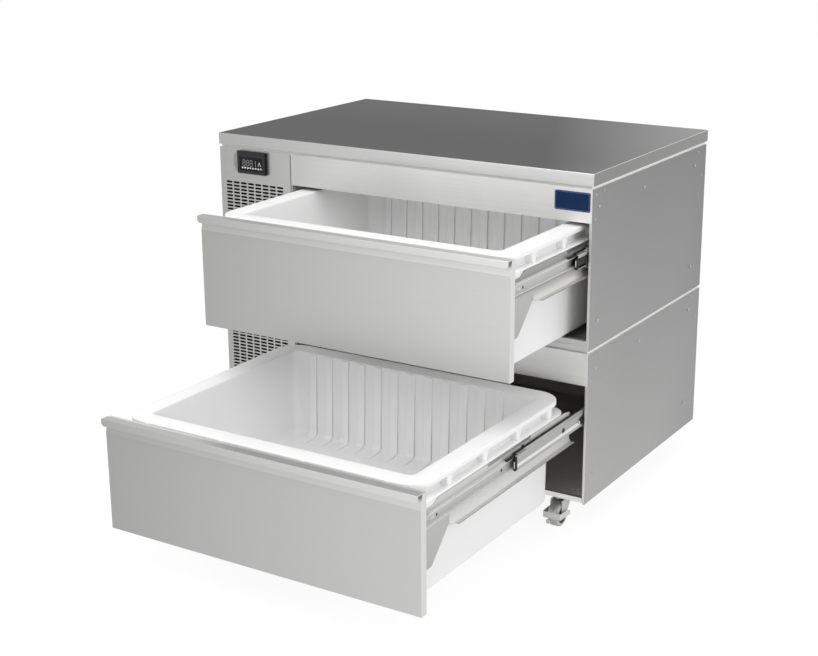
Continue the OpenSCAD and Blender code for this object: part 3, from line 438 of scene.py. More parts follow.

# Front sheets. Fascias, engine panels with their punched grilles, and the folded sills, all in
# light brushed stainless with the grain running across. Each is painted darker toward its left and
# lighter toward its right, a painted reflection sweep, and the lower fascia is painted lighter still,
# painted light where the upper drawer shades it.
carry(brushed("stainless upper fascia, brushed, painted reflection sweep", "#C0C0BE", "#F0F0EE", (1, 0, 0), (-0.3, 0.12),
    (3, 3, 320), 0.34), "upper_fascia")
carry(brushed("stainless lower fascia, brushed", "#CFCFCC", "#F2F2EF", (1, 0, 0), (-0.3, 0.2),
    (3, 3, 320), 0.34), "lower_fascia")
carry(brushed("stainless grille panel, brushed, painted reflection sweep", "#AAAAA8", "#B7B7B5", (1, 0, 0), (-0.54, -0.31),
    (3, 3, 320), 0.34), "engine_panel")
carry(brushed("stainless sill, folded, painted reflection sweep", "#D6D6D3", "#DEDEDB", (1, 0, 0), (-0.3, 0.5), (4, 300, 300),
    0.3), "sill")

# Label plate. A bare plate of dark blue printed aluminium at the right end of the upper fascia,
# with a fine lighter border.
plate_blue = coated("printed aluminium, navy", "#122C52", "#0E2547", 1500, 0.42)
dull(plate_blue, 0.12)
plate_line = coated("printed aluminium, pale border", "#7C8CB0", "#6F80A6", 1500, 0.38)
plate = block("label_plate_bare", (0.4505, -0.3508, 0.8085), (0.5425, -0.35, 0.8545))
edit()
pick("edges", lambda e: runs(e, 1))
bevel(0.004, 5)
pick("faces", lambda f: f.normal.y < -0.9)
inset(0.0022)
inset(0.0007)
leave()
dress(plate, plate_blue, plate_line)
for face in plate.data.polygons:
    across = max(abs(plate.data.vertices[v].co.x - 0.4965) for v in face.vertices)
    tall = max(abs(plate.data.vertices[v].co.z - 0.8315) for v in face.vertices)
    if face.normal.y < -0.9 and across < 0.0445 and tall < 0.0215 and len(face.vertices) == 4:
        face.material_index = 1
smooth(plate)
finish(plate, "cabinet", "label_blue", plate_blue, "label_plate")

# Controllers. Dark moulded ABS bezels, deeper at the top, with a sunk window that shows three
# figures, a mark, an arrow and a row of lamps, on a pale bowed plate that shows at the left. The
# bezels' top and right-hand faces are painted darker than their fronts, a painted shade.
def pick_all():
    """Selects the whole mesh."""
    bpy.ops.mesh.select_all(action="SELECT")


def round_all(width, segments):
    """Rounds every edge of the active piece."""
    edit()
    pick_all()
    bevel(width, segments)
    leave()


def cut(place, way, **settings):
    """Cuts the whole mesh along a plane."""
    pick_all()
    bpy.ops.mesh.bisect(plane_co=place, plane_no=way, **settings)


def move(*way):
    """Moves what is picked."""
    bpy.ops.transform.translate(value=way)


abs_dark = coated("ABS, charcoal, moulded", "#323134", "#2A292C", 1400, 0.5)
# A darker copy of the ABS: painted shade for the bezels' top and right-hand faces.
abs_painted_shade = coated("ABS, charcoal, painted shade on top and right faces", "#171718", "#111112", 1400, 0.6)
dull(abs_dark, 0.15)
dull(abs_painted_shade, 0.15)
abs_pale = coated("ABS, pale grey, moulded", "#90908F", "#868685", 1400, 0.5)
window_black = coated("acrylic window, black", "#101012", "#0B0B0D", 300, 0.2, 0.00005)
dull(window_black, 0.2)
figure_grey = coated("display segments, unlit", "#8C8C8E", "#7E7E80", 900, 0.5)
lamp_white = coated("display marks, white", "#D2D2D2", "#BEBEBE", 900, 0.5)
# Each unit's name, the height of its top, and where its drawer's front stands at rest
units = (("upper", 0.862, -0.7365), ("lower", 0.464, -1.098))
for unit, top, front in units:
    high, low = top - 0.004, top - 0.065
    fit = (Matrix.Translation((-0.43635, -0.3600, top - 0.0324)) @ Matrix.Diagonal((0.936, 1, 0.957, 1))
        @ Matrix.Translation((0.43975, 0.3530, 0.0345 - top)))
    bezel = block(f"{unit}_controller_bezel", (-0.488, -0.3530, low), (-0.3915, -0.343, high))
    edit()
    pick("faces", lambda f: f.normal.y < -0.9)
    inset(0.0016)
    move(0, -0.0004, 0)
    inset(0.0072)
    bpy.ops.transform.resize(value=(1, 1, 0.86), center_override=(-0.44, -0.353, low + 0.0088))
    inset(0.0008)
    move(0, 0.0016, 0)
    pick("faces", lambda f: f.normal.y > 0.9 and f.calc_area() > 0.003)
    inset(0.0045)
    extrude(0, 0.032, 0)
    pick("edges", lambda e: runs(e, 1) and middle_of(e).y < -0.35 and e.calc_face_angle(0) > 1.4
        and abs(middle_of(e).x + 0.43975) > 0.047)
    bevel(0.0018, 4)
    smooth(bezel, 40)
    bezel.data.transform(fit)
    dress(bezel, abs_dark, abs_painted_shade)
    # Painted shade: the top and right-hand faces take the darker copy.
    for part in bezel.data.polygons:
        part.material_index = 1 if part.normal.z > 0.5 or part.normal.x > 0.5 else 0
    finish(bezel, "cabinet", "ctrl_plastic", abs_dark, f"{unit}_controller")
    bow = cylinder(f"{unit}_controller_bow", 72, 0.0387, 0.0024, (-0.4618, -0.3512, top - 0.0324),
        (90, 0, 0))
    edit()
    cut((-0.4872, 0, 0), (1, 0, 0), clear_outer=True, use_fill=True)
    pick("faces", lambda f: f.normal.y < -0.9)
    inset(0.0009)
    move(0, -0.0005, 0)
    smooth(bow, 35)
    finish(bow, "cabinet", "ctrl_plastic", abs_pale)
    glass = block(f"{unit}_controller_window", (-0.4781, -0.3524, low + 0.0098),
        (-0.4013, -0.3510, high - 0.0158))
    edit()
    pick("edges", lambda e: runs(e, 1))
    bevel(0.0012, 3)
    pick("faces", lambda f: f.normal.y < -0.9)
    bevel(0.0004, 2)
    smooth(glass)
    glass.data.transform(fit)
    finish(glass, "cabinet", "display_glass", window_black, f"{unit}_display")
    strokes = []
    for figure in range(3):
        x0, z0, w, h, t = -0.4700 + figure * 0.0126, high - 0.0400, 0.0100, 0.0175, 0.0017
        for low_x, low_z, high_x, high_z in (
                (x0 + t, z0 + h - t, x0 + w - t, z0 + h), (x0 + t, z0, x0 + w - t, z0 + t),
                (x0 + t, z0 + (h - t) / 2, x0 + w - t, z0 + (h + t) / 2),
                (x0, z0 + t, x0 + t, z0 + (h - t) / 2), (x0 + w - t, z0 + t, x0 + w, z0 + (h - t) / 2),
                (x0, z0 + (h + t) / 2, x0 + t, z0 + h - t),
                (x0 + w - t, z0 + (h + t) / 2, x0 + w, z0 + h - t)):
            strokes.append(block("stroke", (low_x, -0.3526, low_z), (high_x, -0.3523, high_z)))
    strokes.append(block("stroke", (-0.4258, -0.3526, high - 0.0390), (-0.4240, -0.3523, high - 0.0275)))
    figures = merge(f"{unit}_controller_figures", strokes)
    round_all(0.00012, 1)
    figures.data.transform(fit)
    finish(figures, "cabinet", "ctrl_plastic", figure_grey)
    marks = [block("mark", (-0.4736 + i * 0.0092, -0.3526, high - 0.0470 + (i % 2) * 0.0006),
        (-0.4676 + i * 0.0092, -0.3523, high - 0.0428 + (i % 2) * 0.0006)) for i in range(8)]
    marks.append(block("mark", (-0.4258, -0.3526, high - 0.0262), (-0.4240, -0.3523, high - 0.0244)))
    for way in (-1, 1):
        leg = block("mark", (-0.00085, -0.3526, -0.0062), (0.00085, -0.3523, 0.0062))
        round_all(0.0001, 1)
        leg.data.transform(Matrix.Translation((-0.4111 + 0.0024 * way, 0, high - 0.0318))
            @ Matrix.Rotation(math.radians(-21 * way), 4, "Y"))
        marks.append(leg)
    lights = merge(f"{unit}_controller_marks", marks)
    lights.data.transform(fit)
    finish(lights, "cabinet", "ctrl_plastic", lamp_white)

# Carcass and what shows inside it. Grey coated sheet round the drawer bays, given a light grey that
# lifts the shade in the bays, which is painted light, with bright rivets in its floor and wall, and the
# machinery, painted or bare, behind the grilles.
carry(coated("powder-coated steel, grey, painted light", "#C0BEBA", "#B4B2AE", 700, 0.6), "carcass")
carry(brushed("stainless back sheet", "#A9ABAB", "#9A9D9D", (0, 0, 1), (0.08, 0.86), (3, 3, 300),
    0.45), "back_panel")
carry(coated("enamelled steel, black", "#1E1E20", "#161617", 500, 0.35), "compressor")
# Aluminium fins drawn near black behind the grilles.
carry(coated("aluminium fins, near black", "#1C1C1E", "#141416", 300, 0.7, 0.0003, 0.3), "condenser")
carry(coated("nylon fan, black", "#232325", "#1B1B1D", 900, 0.5), "condenser_fan")
carry(coated("copper tube, dull", "#B98563", "#9C6A4A", 250, 0.35, 0.0001, 0.9), "evaporator", "pipework")
carry(coated("ABS lid, white", "#E6E6E3", "#DEDEDB", 1200, 0.42), "lid")
carry(coated("EPDM gasket, dark grey", "#4C4C4E", "#434345", 1500, 0.7), "lid_gasket")
rivet = coated("aluminium rivet, bright", "#E4E4E2", "#D4D4D2", 700, 0.4, 0.0001, 0.3)
heads = []
low_floor, high_floor = 0.0892, 0.4772
for x, y, z, angle in ((0.430, -0.330, low_floor, 0), (0.478, -0.314, low_floor, 0),
        (0.492, -0.298, low_floor, 0), (0.504, -0.294, low_floor, 0), (0.36, -0.30, low_floor, 0),
        (0.5378, -0.300, 0.350, -90), (0.470, -0.330, high_floor, 0), (0.484, -0.318, high_floor, 0),
        (0.498, -0.322, high_floor, 0), (0.508, -0.306, high_floor, 0), (0.452, -0.312, high_floor, 0)):
    let_go()
    bpy.ops.mesh.primitive_uv_sphere_add(segments=14, ring_count=8, radius=0.0032)
    head = bpy.context.object
    edit()
    pick_all()
    bpy.ops.transform.resize(value=(1, 1, 0.5))
    cut((0, 0, 0), (0, 0, 1), clear_inner=True, use_fill=True)
    leave()
    head.data.transform(Matrix.Translation((x, y, z)) @ Matrix.Rotation(math.radians(angle), 4, "Y"))
    heads.append(head)
rivets = merge("bay_rivets", heads)
smooth(rivets, 50)
finish(rivets, "cabinet", "screw_steel", rivet)


# Slides. Three zinc-plated channel sections on each side of a drawer: the outer one on the bay's
# wall, the middle one with a stepped web, and the inner one on the carriage. Rows of balls run
# between their lips; black nylon stops and latches sit at their front ends. Faces that catch light
# take a brighter copy of the zinc, a painted highlight, and the inner web darkens toward the middle
# member's front end, a painted shadow.
def turn_out():
    """Turns every face of the mesh outwards."""
    pick_all()
    bpy.ops.mesh.normals_make_consistent(inside=False)


def modify(made, kind, **settings):
    """Adds a modifier to the active piece and applies it."""
    held = made.modifiers.new(kind, kind)
    for key, value in settings.items():
        setattr(held, key, value)
    bpy.ops.object.modifier_apply(modifier=held.name)


def fold(name, section, start, end, thick, side):
    """A strip of sheet folded along Y. Its section runs through points: X from the drawer's middle
    and Z. side is 1 for the right of the drawer, and -1 for its mirror image on the left."""
    section = [(mid_x + side * x, z) for x, z in section]
    (x0, z0), (x1, z1) = section[:2]
    length = math.hypot(x1 - x0, z1 - z0)
    let_go()
    bpy.ops.mesh.primitive_plane_add(size=1, location=((x0 + x1) / 2, (start + end) / 2, (z0 + z1) / 2),
        rotation=(0, -math.atan2(z1 - z0, x1 - x0), 0))
    made = bpy.context.object
    made.name = name
    made.scale = (length, end - start, 1)
    settle()
    edit()
    for (xa, za), (xb, zb) in zip(section[1:], section[2:]):
        pick("edges", lambda e: runs(e, 1) and len(e.link_faces) == 1
            and math.hypot(middle_of(e).x - xa, middle_of(e).z - za) < 0.00005)
        extrude(xb - xa, 0, zb - za)
    turn_out()
    leave()
    modify(made, "SOLIDIFY", thickness=thick, offset=0, use_even_offset=True)
    modify(made, "BEVEL", width=thick * 0.22, segments=2, angle_limit=math.radians(25))
    return made


def lug(name, side, low, high, round_off):
    """A small moulded block, X from the drawer's middle, with rounded edges."""
    made = block(name, (mid_x + side * low[0], low[1], low[2]), (mid_x + side * high[0], high[1], high[2]))
    round_all(round_off, 3)
    return made


def knob(name, side, x, y, z, radius, depth):
    """A short round peg or hole that faces outwards, X from the drawer's middle."""
    made = cylinder(name, 24, radius, depth, (mid_x + side * x, y, z), (0, 90, 0))
    edit()
    pick("faces", lambda f: abs(f.normal.x) > 0.9)
    inset(radius * 0.18)
    leave()
    return made


def rungs(name, side, low, high, pitch):
    """A row of small bars across a strip, repeated along Y: what shows of a row of balls."""
    first = block(name, (mid_x + side * low[0], low[1], low[2]),
        (mid_x + side * high[0], low[1] + pitch * 0.5, high[2]))
    edit()
    pick("edges", lambda e: runs(e, 0) and middle_of(e).z > (low[2] + high[2]) / 2)
    bevel(abs(high[2] - low[2]) * 0.45, 1)
    leave()
    modify(first, "ARRAY", count=int((high[1] - low[1]) / pitch), use_relative_offset=False,
        use_constant_offset=True, constant_offset_displace=(0, pitch, 0))
    return first


mid_x = 0.114
zinc = brushed("zinc-plated slide, web", "#B0B0AE", "#AAAAA9", (0, 1, 0), (-1.1, 0.3), (300, 3, 300),
    0.42, 0.8)
# A brighter copy of the zinc: painted highlight on faces that catch light.
zinc_painted_highlight = brushed("zinc-plated slide, painted highlight", "#E8E8E6", "#DEDEDC", (0, 1, 0), (-1.1, 0.3),
    (300, 3, 300), 0.4, 0.5)
zinc_race = coated("zinc-plated slide, race", "#DCDCDA", "#CECECC", 400, 0.5, 0.0001, 0.2)
zinc_lip = coated("zinc-plated slide, inner lip", "#C2C2C0", "#B6B6B4", 300, 0.5, 0.0001, 0.3)
zinc_line = coated("zinc-plated slide, shaded edge", "#7A7A78", "#70706E", 300, 0.5, 0.0001, 0.3)
nylon = coated("nylon, black, moulded", "#232324", "#1B1B1C", 900, 0.45)
dull(nylon, 0.15)
nylon_pale = coated("nylon, pale grey, moulded", "#C4C4C2", "#B4B4B2", 900, 0.45)
carry(zinc, "slide_outer")
for (unit, top, front), (mid_0, mid_1) in zip(units, ((-0.39625, 0.13975), (-0.681, -0.041))):
    axis = top - 0.162
    # The inner web darkens toward the middle member's front end: painted shadow, deep on the upper drawer,
    # slight on the lower.
    inner_web_painted_shadow = brushed(f"zinc-plated slide, inner web, {unit}", "#C0C0BE",
        "#2E2E2D" if unit == "upper" else "#BCBCBA", (0, 1, 0), (-0.432, -0.392),
        (300, 3, 300), 0.42, 0.4)
    webs, races, pegs, pale_pegs = [], [], [], []
    inner_webs, inner_races, holes = [], [], []
    outer_stops, plate_stops = [], []
    for side in (1, -1):
        webs.append(fold("mid_web", [(0.4125, axis + 0.0163), (0.4233, axis + 0.0163),
            (0.4233, axis + 0.0100), (0.4206, axis + 0.0080), (0.4206, axis - 0.0040),
            (0.4233, axis - 0.0098), (0.4233, axis - 0.0163), (0.4125, axis - 0.0163)],
            mid_0, mid_1, 0.0014, side))
        races.append(rungs("mid_race", side, (0.4140, mid_0 + 0.050, axis + 0.0166),
            (0.4215, mid_1 - 0.02, axis + 0.0178), 0.006))
        inner_webs.append(fold("inner_web", [(0.4170, axis + 0.0123), (0.4088, axis + 0.0123),
            (0.4088, axis - 0.0108), (0.4170, axis - 0.0108)], front + 0.030, front + 0.706, 0.0014, side))
        inner_races.append(rungs("inner_race", side, (0.4098, front + 0.062, axis + 0.0127),
            (0.4155, front + 0.640, axis + 0.0136), 0.005))
        inner_races.append(lug("inner_slot", side, (0.4094, front + 0.072, axis - 0.0062),
            (0.4099, front + 0.086, axis + 0.0006), 0.0002))
        inner_races.append(lug("inner_bead", side, (0.4082, front + 0.032, axis + 0.0129),
            (0.4092, front + 0.704, axis + 0.0142), 0.0002))
        inner_webs.append(lug("inner_foot", side, (0.4088, front + 0.032, axis - 0.0124),
            (0.4168, front + 0.704, axis - 0.0116), 0.0002))
        for y, r in ((0.079, 0.0022), (0.097, 0.0030), (0.371, 0.0034), (0.560, 0.0034)):
            holes.append(knob("inner_hole", side, 0.4096, front + y, axis - 0.0028, r, 0.0004))
        # On the upper drawer the black stop runs far back: partly a real nylon bumper, partly a painted
        # shadow round the middle member's front end.
        deep, tall = (0.046, 0.0088) if unit == "upper" else (0.003, 0.0160)
        pegs.append(lug("mid_stop", side, (0.4176, mid_0 - 0.008, axis - 0.0172),
            (0.4240, mid_0 + deep, axis + tall), 0.0024))
        pegs.append(lug("mid_tongue", side, (0.4105, mid_0 - 0.034, axis + 0.0141),
            (0.4190, mid_0 + 0.012, axis + 0.0172), 0.0012))
        pegs.append(knob("mid_hole", side, 0.4212, mid_0 + 0.233, axis + 0.0008, 0.0068, 0.0006))
        # A black strip along the middle member's inner top edge.
        pegs.append(lug("mid_black_strip", side, (0.4100, mid_0 + 0.004, axis + 0.0146),
            (0.4124, mid_1 - 0.01, axis + 0.0203), 0.0004))
        pegs.append(lug("mid_latch", side, (0.4213, -0.362, axis - 0.012),
            (0.4249, -0.349, axis + 0.004), 0.0012))
        pale_pegs.append(knob("mid_latch_button", side, 0.4222, mid_0 + 0.314, axis - 0.0050, 0.0048,
            0.0024))
        pale_pegs.append(lug("mid_stop_face", side, (0.4200, mid_0 - 0.0092, axis - 0.010),
            (0.4226, mid_0 - 0.002, axis + 0.006), 0.001))
        outer_stops.append(lug("outer_stop", side, (0.4243, -0.3478, axis - 0.0215),
            (0.4264, -0.3425, axis + 0.0215), 0.0006))
        plate_stops.append(lug("plate_stop", side, (0.4082, front + 0.4655, axis + 0.014),
            (0.4097, front + 0.4745, axis + 0.0245), 0.0006))
    mids = merge(f"{unit}_slide_middle", webs)
    dress(mids, zinc, zinc_painted_highlight)
    # The middle member's lower sloping band and top outer edge take the painted highlight.
    for face in mids.data.polygons:
        out = abs(face.center.x - mid_x)
        high_edge = out > 0.4226 and face.center.z > axis + 0.0160
        if (0.4204 < out and axis - 0.0102 < face.center.z < axis - 0.0036
                and face.normal.x * (face.center.x - mid_x) > 0) or high_edge:
            face.material_index = 1
    smooth(mids, 20)
    finish(mids, f"{unit}_slides", "slide_steel", zinc, f"{unit}_slide_mid")
    for name, pieces, material in (("balls", races, zinc_race), ("stops", pegs, nylon),
            ("buttons", pale_pegs, nylon_pale)):
        finish(merge(f"{unit}_slide_middle_{name}", pieces), f"{unit}_slides", "slide_steel",
            material)
    inner = merge(f"{unit}_slide_inner_channel", inner_webs)
    dress(inner, inner_web_painted_shadow, zinc_painted_highlight, zinc_lip, zinc_line)
    # The inner channel's bottom takes the shaded edge, its lower lip and top outer edge the painted
    # highlight.
    for face in inner.data.polygons:
        out = abs(face.center.x - mid_x)
        if face.center.z < axis - 0.01155:
            face.material_index = 3
        elif (face.center.z < axis - 0.0098 and out > 0.4092) or (out > 0.4160 and face.center.z > axis):
            face.material_index = 1
        elif face.center.z > axis + 0.0126:
            face.material_index = 2
    smooth(inner, 20)
    finish(inner, f"{unit}_drawer", "slide_steel", inner_web_painted_shadow, f"{unit}_slide_inner")
    for name, pieces, body, material in (("slide_inner_balls", inner_races, f"{unit}_drawer", zinc_race),
            ("slide_inner_holes", holes, f"{unit}_drawer", nylon),
            ("slide_outer_stops", outer_stops, "cabinet", nylon),
            ("carriage_stops", plate_stops, f"{unit}_drawer", nylon)):
        finish(merge(f"{unit}_{name}", pieces), body, "slide_steel", material)

# Carriages. Side plates laser-cut from bright stainless sheet, notched along the top, with a gusset
# behind the front panel, a flange rolled out along the lower edge, and a bar across the back. The
# upright plates are painted darker than the flange below them, a painted shade that is strong on
# the upper drawer, and the sheet round the gusset behind the front panel takes its own copy of the
# steel, toned as painted shade.
plate_in, plate_out = 0.4065, 0.408
for (unit, top, front), (lower_band_painted_light, plate_painted_shade) in zip(units, (("#DAD9D6", "#9E9E9C"),
        ("#DCDCDA", "#CDCDCB"))):
    steel = brushed(f"stainless carriage, painted shade, {unit}", lower_band_painted_light, plate_painted_shade, (0, 0, 1),
        (top - 0.203, top - 0.180), (300, 3, 300), 0.42, 0.45, 1.0, 0.02)
    gusset_painted_shade = brushed(f"stainless gusset, painted shade, {unit}", "#B0B0AE", "#BEBEBC", (0, 0, 1),
        (top - 0.27, top - 0.15), (300, 300, 3), 0.42, 0.5, 1.0, 0.02)
    foot, crest = top - 0.204, top - 0.130
    walls = []
    for side in (1, -1):
        wall = block("plate", (mid_x + side * plate_in, front + 0.0205, foot),
            (mid_x + side * plate_out, front + 0.708, crest))
        edit()
        for y in (0.072, 0.080, 0.088, 0.107, 0.150, 0.3115, 0.3145, 0.511, 0.514, 0.684):
            cut((0, front + y, 0), (0, 1, 0))
        for rim, start, end, drop in ((crest, 0, 0.089, 0.011), (crest, 0.314, 0.512, 0.008),
                (crest, 0.707, 0.709, 0.005), (foot, 0, 0.079, 0.072), (foot, 0.079, 0.081, 0.070),
                (foot, 0.087, 0.089, 0.062), (foot, 0.106, 0.108, 0.043)):
            pick("verts", lambda v: abs(v.co.z - rim) < 0.001 and front + start < v.co.y < front + end)
            move(0, 0, -drop)
        cut((0, 0, top - 0.185), (0, 0, 1))
        leave()
        walls.append(wall)
        bend = [(0.4073, foot + 0.010), (0.4073, foot + 0.006), (0.4079, foot + 0.0015),
            (0.4094, foot - 0.0020), (0.4116, foot - 0.0045), (0.4145, foot - 0.0058),
            (0.4225, foot - 0.0058)]
        flange = fold("flange", bend, front + 0.150, front + 0.708, 0.0015, side)
        edit()
        pick("verts", lambda v: v.co.y < front + 0.151 and abs(v.co.x - mid_x) > 0.4130)
        move(0, 0.014, 0)
        leave()
        walls.append(flange)
        walls.append(block("bracket", (mid_x + side * 0.386, front + 0.020, foot - 0.072),
            (mid_x + side * plate_out, front + 0.0215, crest - 0.011)))
        for y, z in ((0.040, foot - 0.055), (0.058, foot - 0.030), (0.040, foot - 0.012)):
            walls.append(knob("gusset_screw", side, 0.4084, front + y, z, 0.0026, 0.0012))
    walls.append(block("rear_bar", (mid_x - plate_out, front + 0.703, foot),
        (mid_x + plate_out, front + 0.7045, top - 0.150)))
    carriage = merge(f"{unit}_carriage_plates", walls)
    dress(carriage, steel, gusset_painted_shade, zinc_line)
    modify(carriage, "BEVEL", width=0.0003, segments=1, angle_limit=math.radians(60))
    # Painted shade: the sheet round the gusset takes the gusset copy, and the flange's outer edge the
    # shaded edge.
    for part in carriage.data.polygons:
        behind_front = part.center.y < front + 0.149 and part.center.z < top - 0.185
        part.material_index = 2 if abs(part.center.x - mid_x) > 0.4221 else int(behind_front)
    smooth(carriage, 35)
    finish(carriage, f"{unit}_drawer", "carriage_steel", steel, f"{unit}_carriage")

# Drawer fronts. Boxes folded from brushed stainless: a flat face, painted darker at the left and
# lighter toward the right as a painted reflection sweep; a top part that leans back and catches
# more light, with a painted highlight on top of that; and plain folded ends, whose end and top
# faces are painted lighter as lit faces. Spot-welded at the back to the carriage's brackets.
front_end_painted_light = brushed("stainless drawer front, folded end, painted light", "#D6D6D4", "#DADAD8", (0, 0, 1), (0.1, 0.8),
    (300, 300, 3), 0.36)
front_left, front_right, front_drop, painted_sweep_reach = -0.295, 0.546, 0.0815, (-0.285, 0.54)
for (unit, top, front), (deep, *painted_sweep_tones) in zip(units, (
        (0.3545, "#AAAAA8", "#CFCFCD", "#B8B8B6", "#E0E0DE"),
        (0.3515, "#A5A5A3", "#C3C3C1", "#AAAAA8", "#D4D4D2"))):
    plain = brushed(f"stainless drawer face, {unit}", painted_sweep_tones[0], painted_sweep_tones[1], (1, 0, 0), painted_sweep_reach,
        (3, 3, 420), 0.34, 0.85, 1.0, 0.02)
    shoulder_painted_highlight = brushed(f"stainless drawer shoulder, {unit}", painted_sweep_tones[2], painted_sweep_tones[3], (1, 0, 0),
        painted_sweep_reach, (3, 300, 420), 0.34)
    z_low, z_bend, z_high = top - deep, top - 0.1155, top - front_drop
    face = block(f"{unit}_drawer_face", (front_left, front, z_low), (front_right, front + 0.02, z_high))
    edit()
    cut((0, 0, z_bend), (0, 0, 1))
    pick("verts", lambda v: v.co.z > z_high - 0.001 and v.co.y < front + 0.001)
    move(0, 0.007, 0)
    pick("edges", lambda e: all(v.co.y < front + 0.008 for v in e.verts) and not runs(e, 0)
        or all(v.co.z < z_low + 0.001 and v.co.y < front + 0.001 for v in e.verts))
    bevel(0.0008, 2)
    for way in (-1, 1):
        pick("faces", lambda f: f.normal.x * way > 0.99)
        inset(0.0013)
        move(-0.0006 * way, 0, 0)
    pick("faces", lambda f: f.normal.y > 0.9)
    inset(0.012)
    extrude(0, -0.006, 0)
    leave()
    dress(face, plain, shoulder_painted_highlight, front_end_painted_light)
    # The leaning top takes the painted highlight, the end and top faces the painted light copy.
    for part in face.data.polygons:
        if part.center.z > z_bend and part.normal.y < -0.5:
            part.material_index = 1
        elif abs(part.normal.x) > 0.6 or part.normal.z > 0.6:
            part.material_index = 2
    smooth(face, 20)
    finish(face, f"{unit}_drawer", "front_steel", plain, f"{unit}_drawer_front")

# Handle lips. A strip folded over the top edge of each front, with a narrow flap turned down for
# the fingers; the flap's lower corners are round. The flap is painted darker at the left and lighter
# toward the right, a painted reflection sweep, and the top is painted darker as shade, most on the
# upper drawer.
for (unit, top, front), painted_sweep_tones in zip(units, (("#A0A09E", "#BEBEBC", "#B4B4B2", "#E0E0DE"),
        ("#B0B0AE", "#C2C2C0", "#ACACAA", "#D4D4D2"))):
    shelf = brushed(f"stainless pull, top, painted shade, {unit}", painted_sweep_tones[0], painted_sweep_tones[1], (1, 0, 0), painted_sweep_reach,
        (3, 420, 3), 0.34)
    flap = brushed(f"stainless pull, flap, {unit}", painted_sweep_tones[2], painted_sweep_tones[3], (1, 0, 0), painted_sweep_reach,
        (3, 3, 420), 0.34)
    z_high = top - front_drop
    lip = block(f"{unit}_pull_lip", (front_left, front - 0.013, z_high),
        (front_right, front + 0.009, z_high + 0.002))
    edit()
    cut((0, front - 0.011, 0), (0, 1, 0))
    pick("faces", lambda f: f.normal.z < -0.9 and middle_of(f).y < front - 0.011)
    extrude(0, 0, -0.015)
    pick("edges", lambda e: runs(e, 1) and middle_of(e).z < z_high - 0.014)
    bevel(0.008, 6)
    pick("edges", lambda e: runs(e, 0) and middle_of(e).y < front - 0.0125
        and middle_of(e).z > z_high + 0.001)
    bevel(0.0014, 3)
    pick("edges", lambda e: middle_of(e).y < front - 0.0128 and abs(e.calc_face_angle(0)) > 1.2)
    bevel(0.0003, 2)
    leave()
    dress(lip, flap, shelf)
    # The top takes the painted shade copy, the rest the flap's painted reflection sweep.
    for part in lip.data.polygons:
        part.material_index = 1 if part.normal.z > 0.8 else 0
    smooth(lip, 25)
    finish(lip, f"{unit}_drawer", "front_steel", flap, f"{unit}_handle_lip")

# Bins. Double-skinned tubs moulded in white polyethylene round a foam core: a broad rim, a ribbed
# recess under it, a ledge that rests on the carriage's plates, and flutes down the back wall.
moulded_white = coated("polyethylene, white, moulded", "#F6F6F6", "#F1F1F1", 800, 0.42, 0.0002)


def step(half, start, end, z):
    """Extrudes the picked face to a new rectangle at height z: half its width, and its two ends."""
    extrude(0, 0, 0)
    shape = bmesh.from_edit_mesh(bpy.context.edit_object.data)
    ring = [v.co for v in shape.verts if v.select]
    low = [min(c[i] for c in ring) for i in range(3)]
    high = [max(c[i] for c in ring) for i in range(3)]
    centre = [(a + b) / 2 for a, b in zip(low, high)]
    bpy.ops.transform.resize(value=(2 * half / (high[0] - low[0]), (end - start) / (high[1] - low[1]), 1),
        center_override=centre)
    move(mid_x - centre[0], (start + end) / 2 - centre[1], z - centre[2])


def shell(name, base, corner, foot, rings):
    """A tub's wall, raised from a rounded rectangle ring by ring and left open at the top. base is
    half its width, its two ends and its two heights; foot rounds its lower edge."""
    half, start, end, z0, z1 = base
    made = block(name, (mid_x - half, front + start, top + z0), (mid_x + half, front + end, top + z1))
    edit()
    pick("edges", lambda e: runs(e, 2))
    bevel(corner, 8)
    if foot:
        pick("edges", lambda e: all(v.co.z < top + z0 + 0.0001 for v in e.verts))
        bevel(foot, 4)
    pick("faces", lambda f: f.normal.z > 0.99)
    for half, start, end, z in rings:
        step(half, front + start, front + end, top + z)
    bpy.ops.mesh.delete(type="FACE")
    leave()
    return made


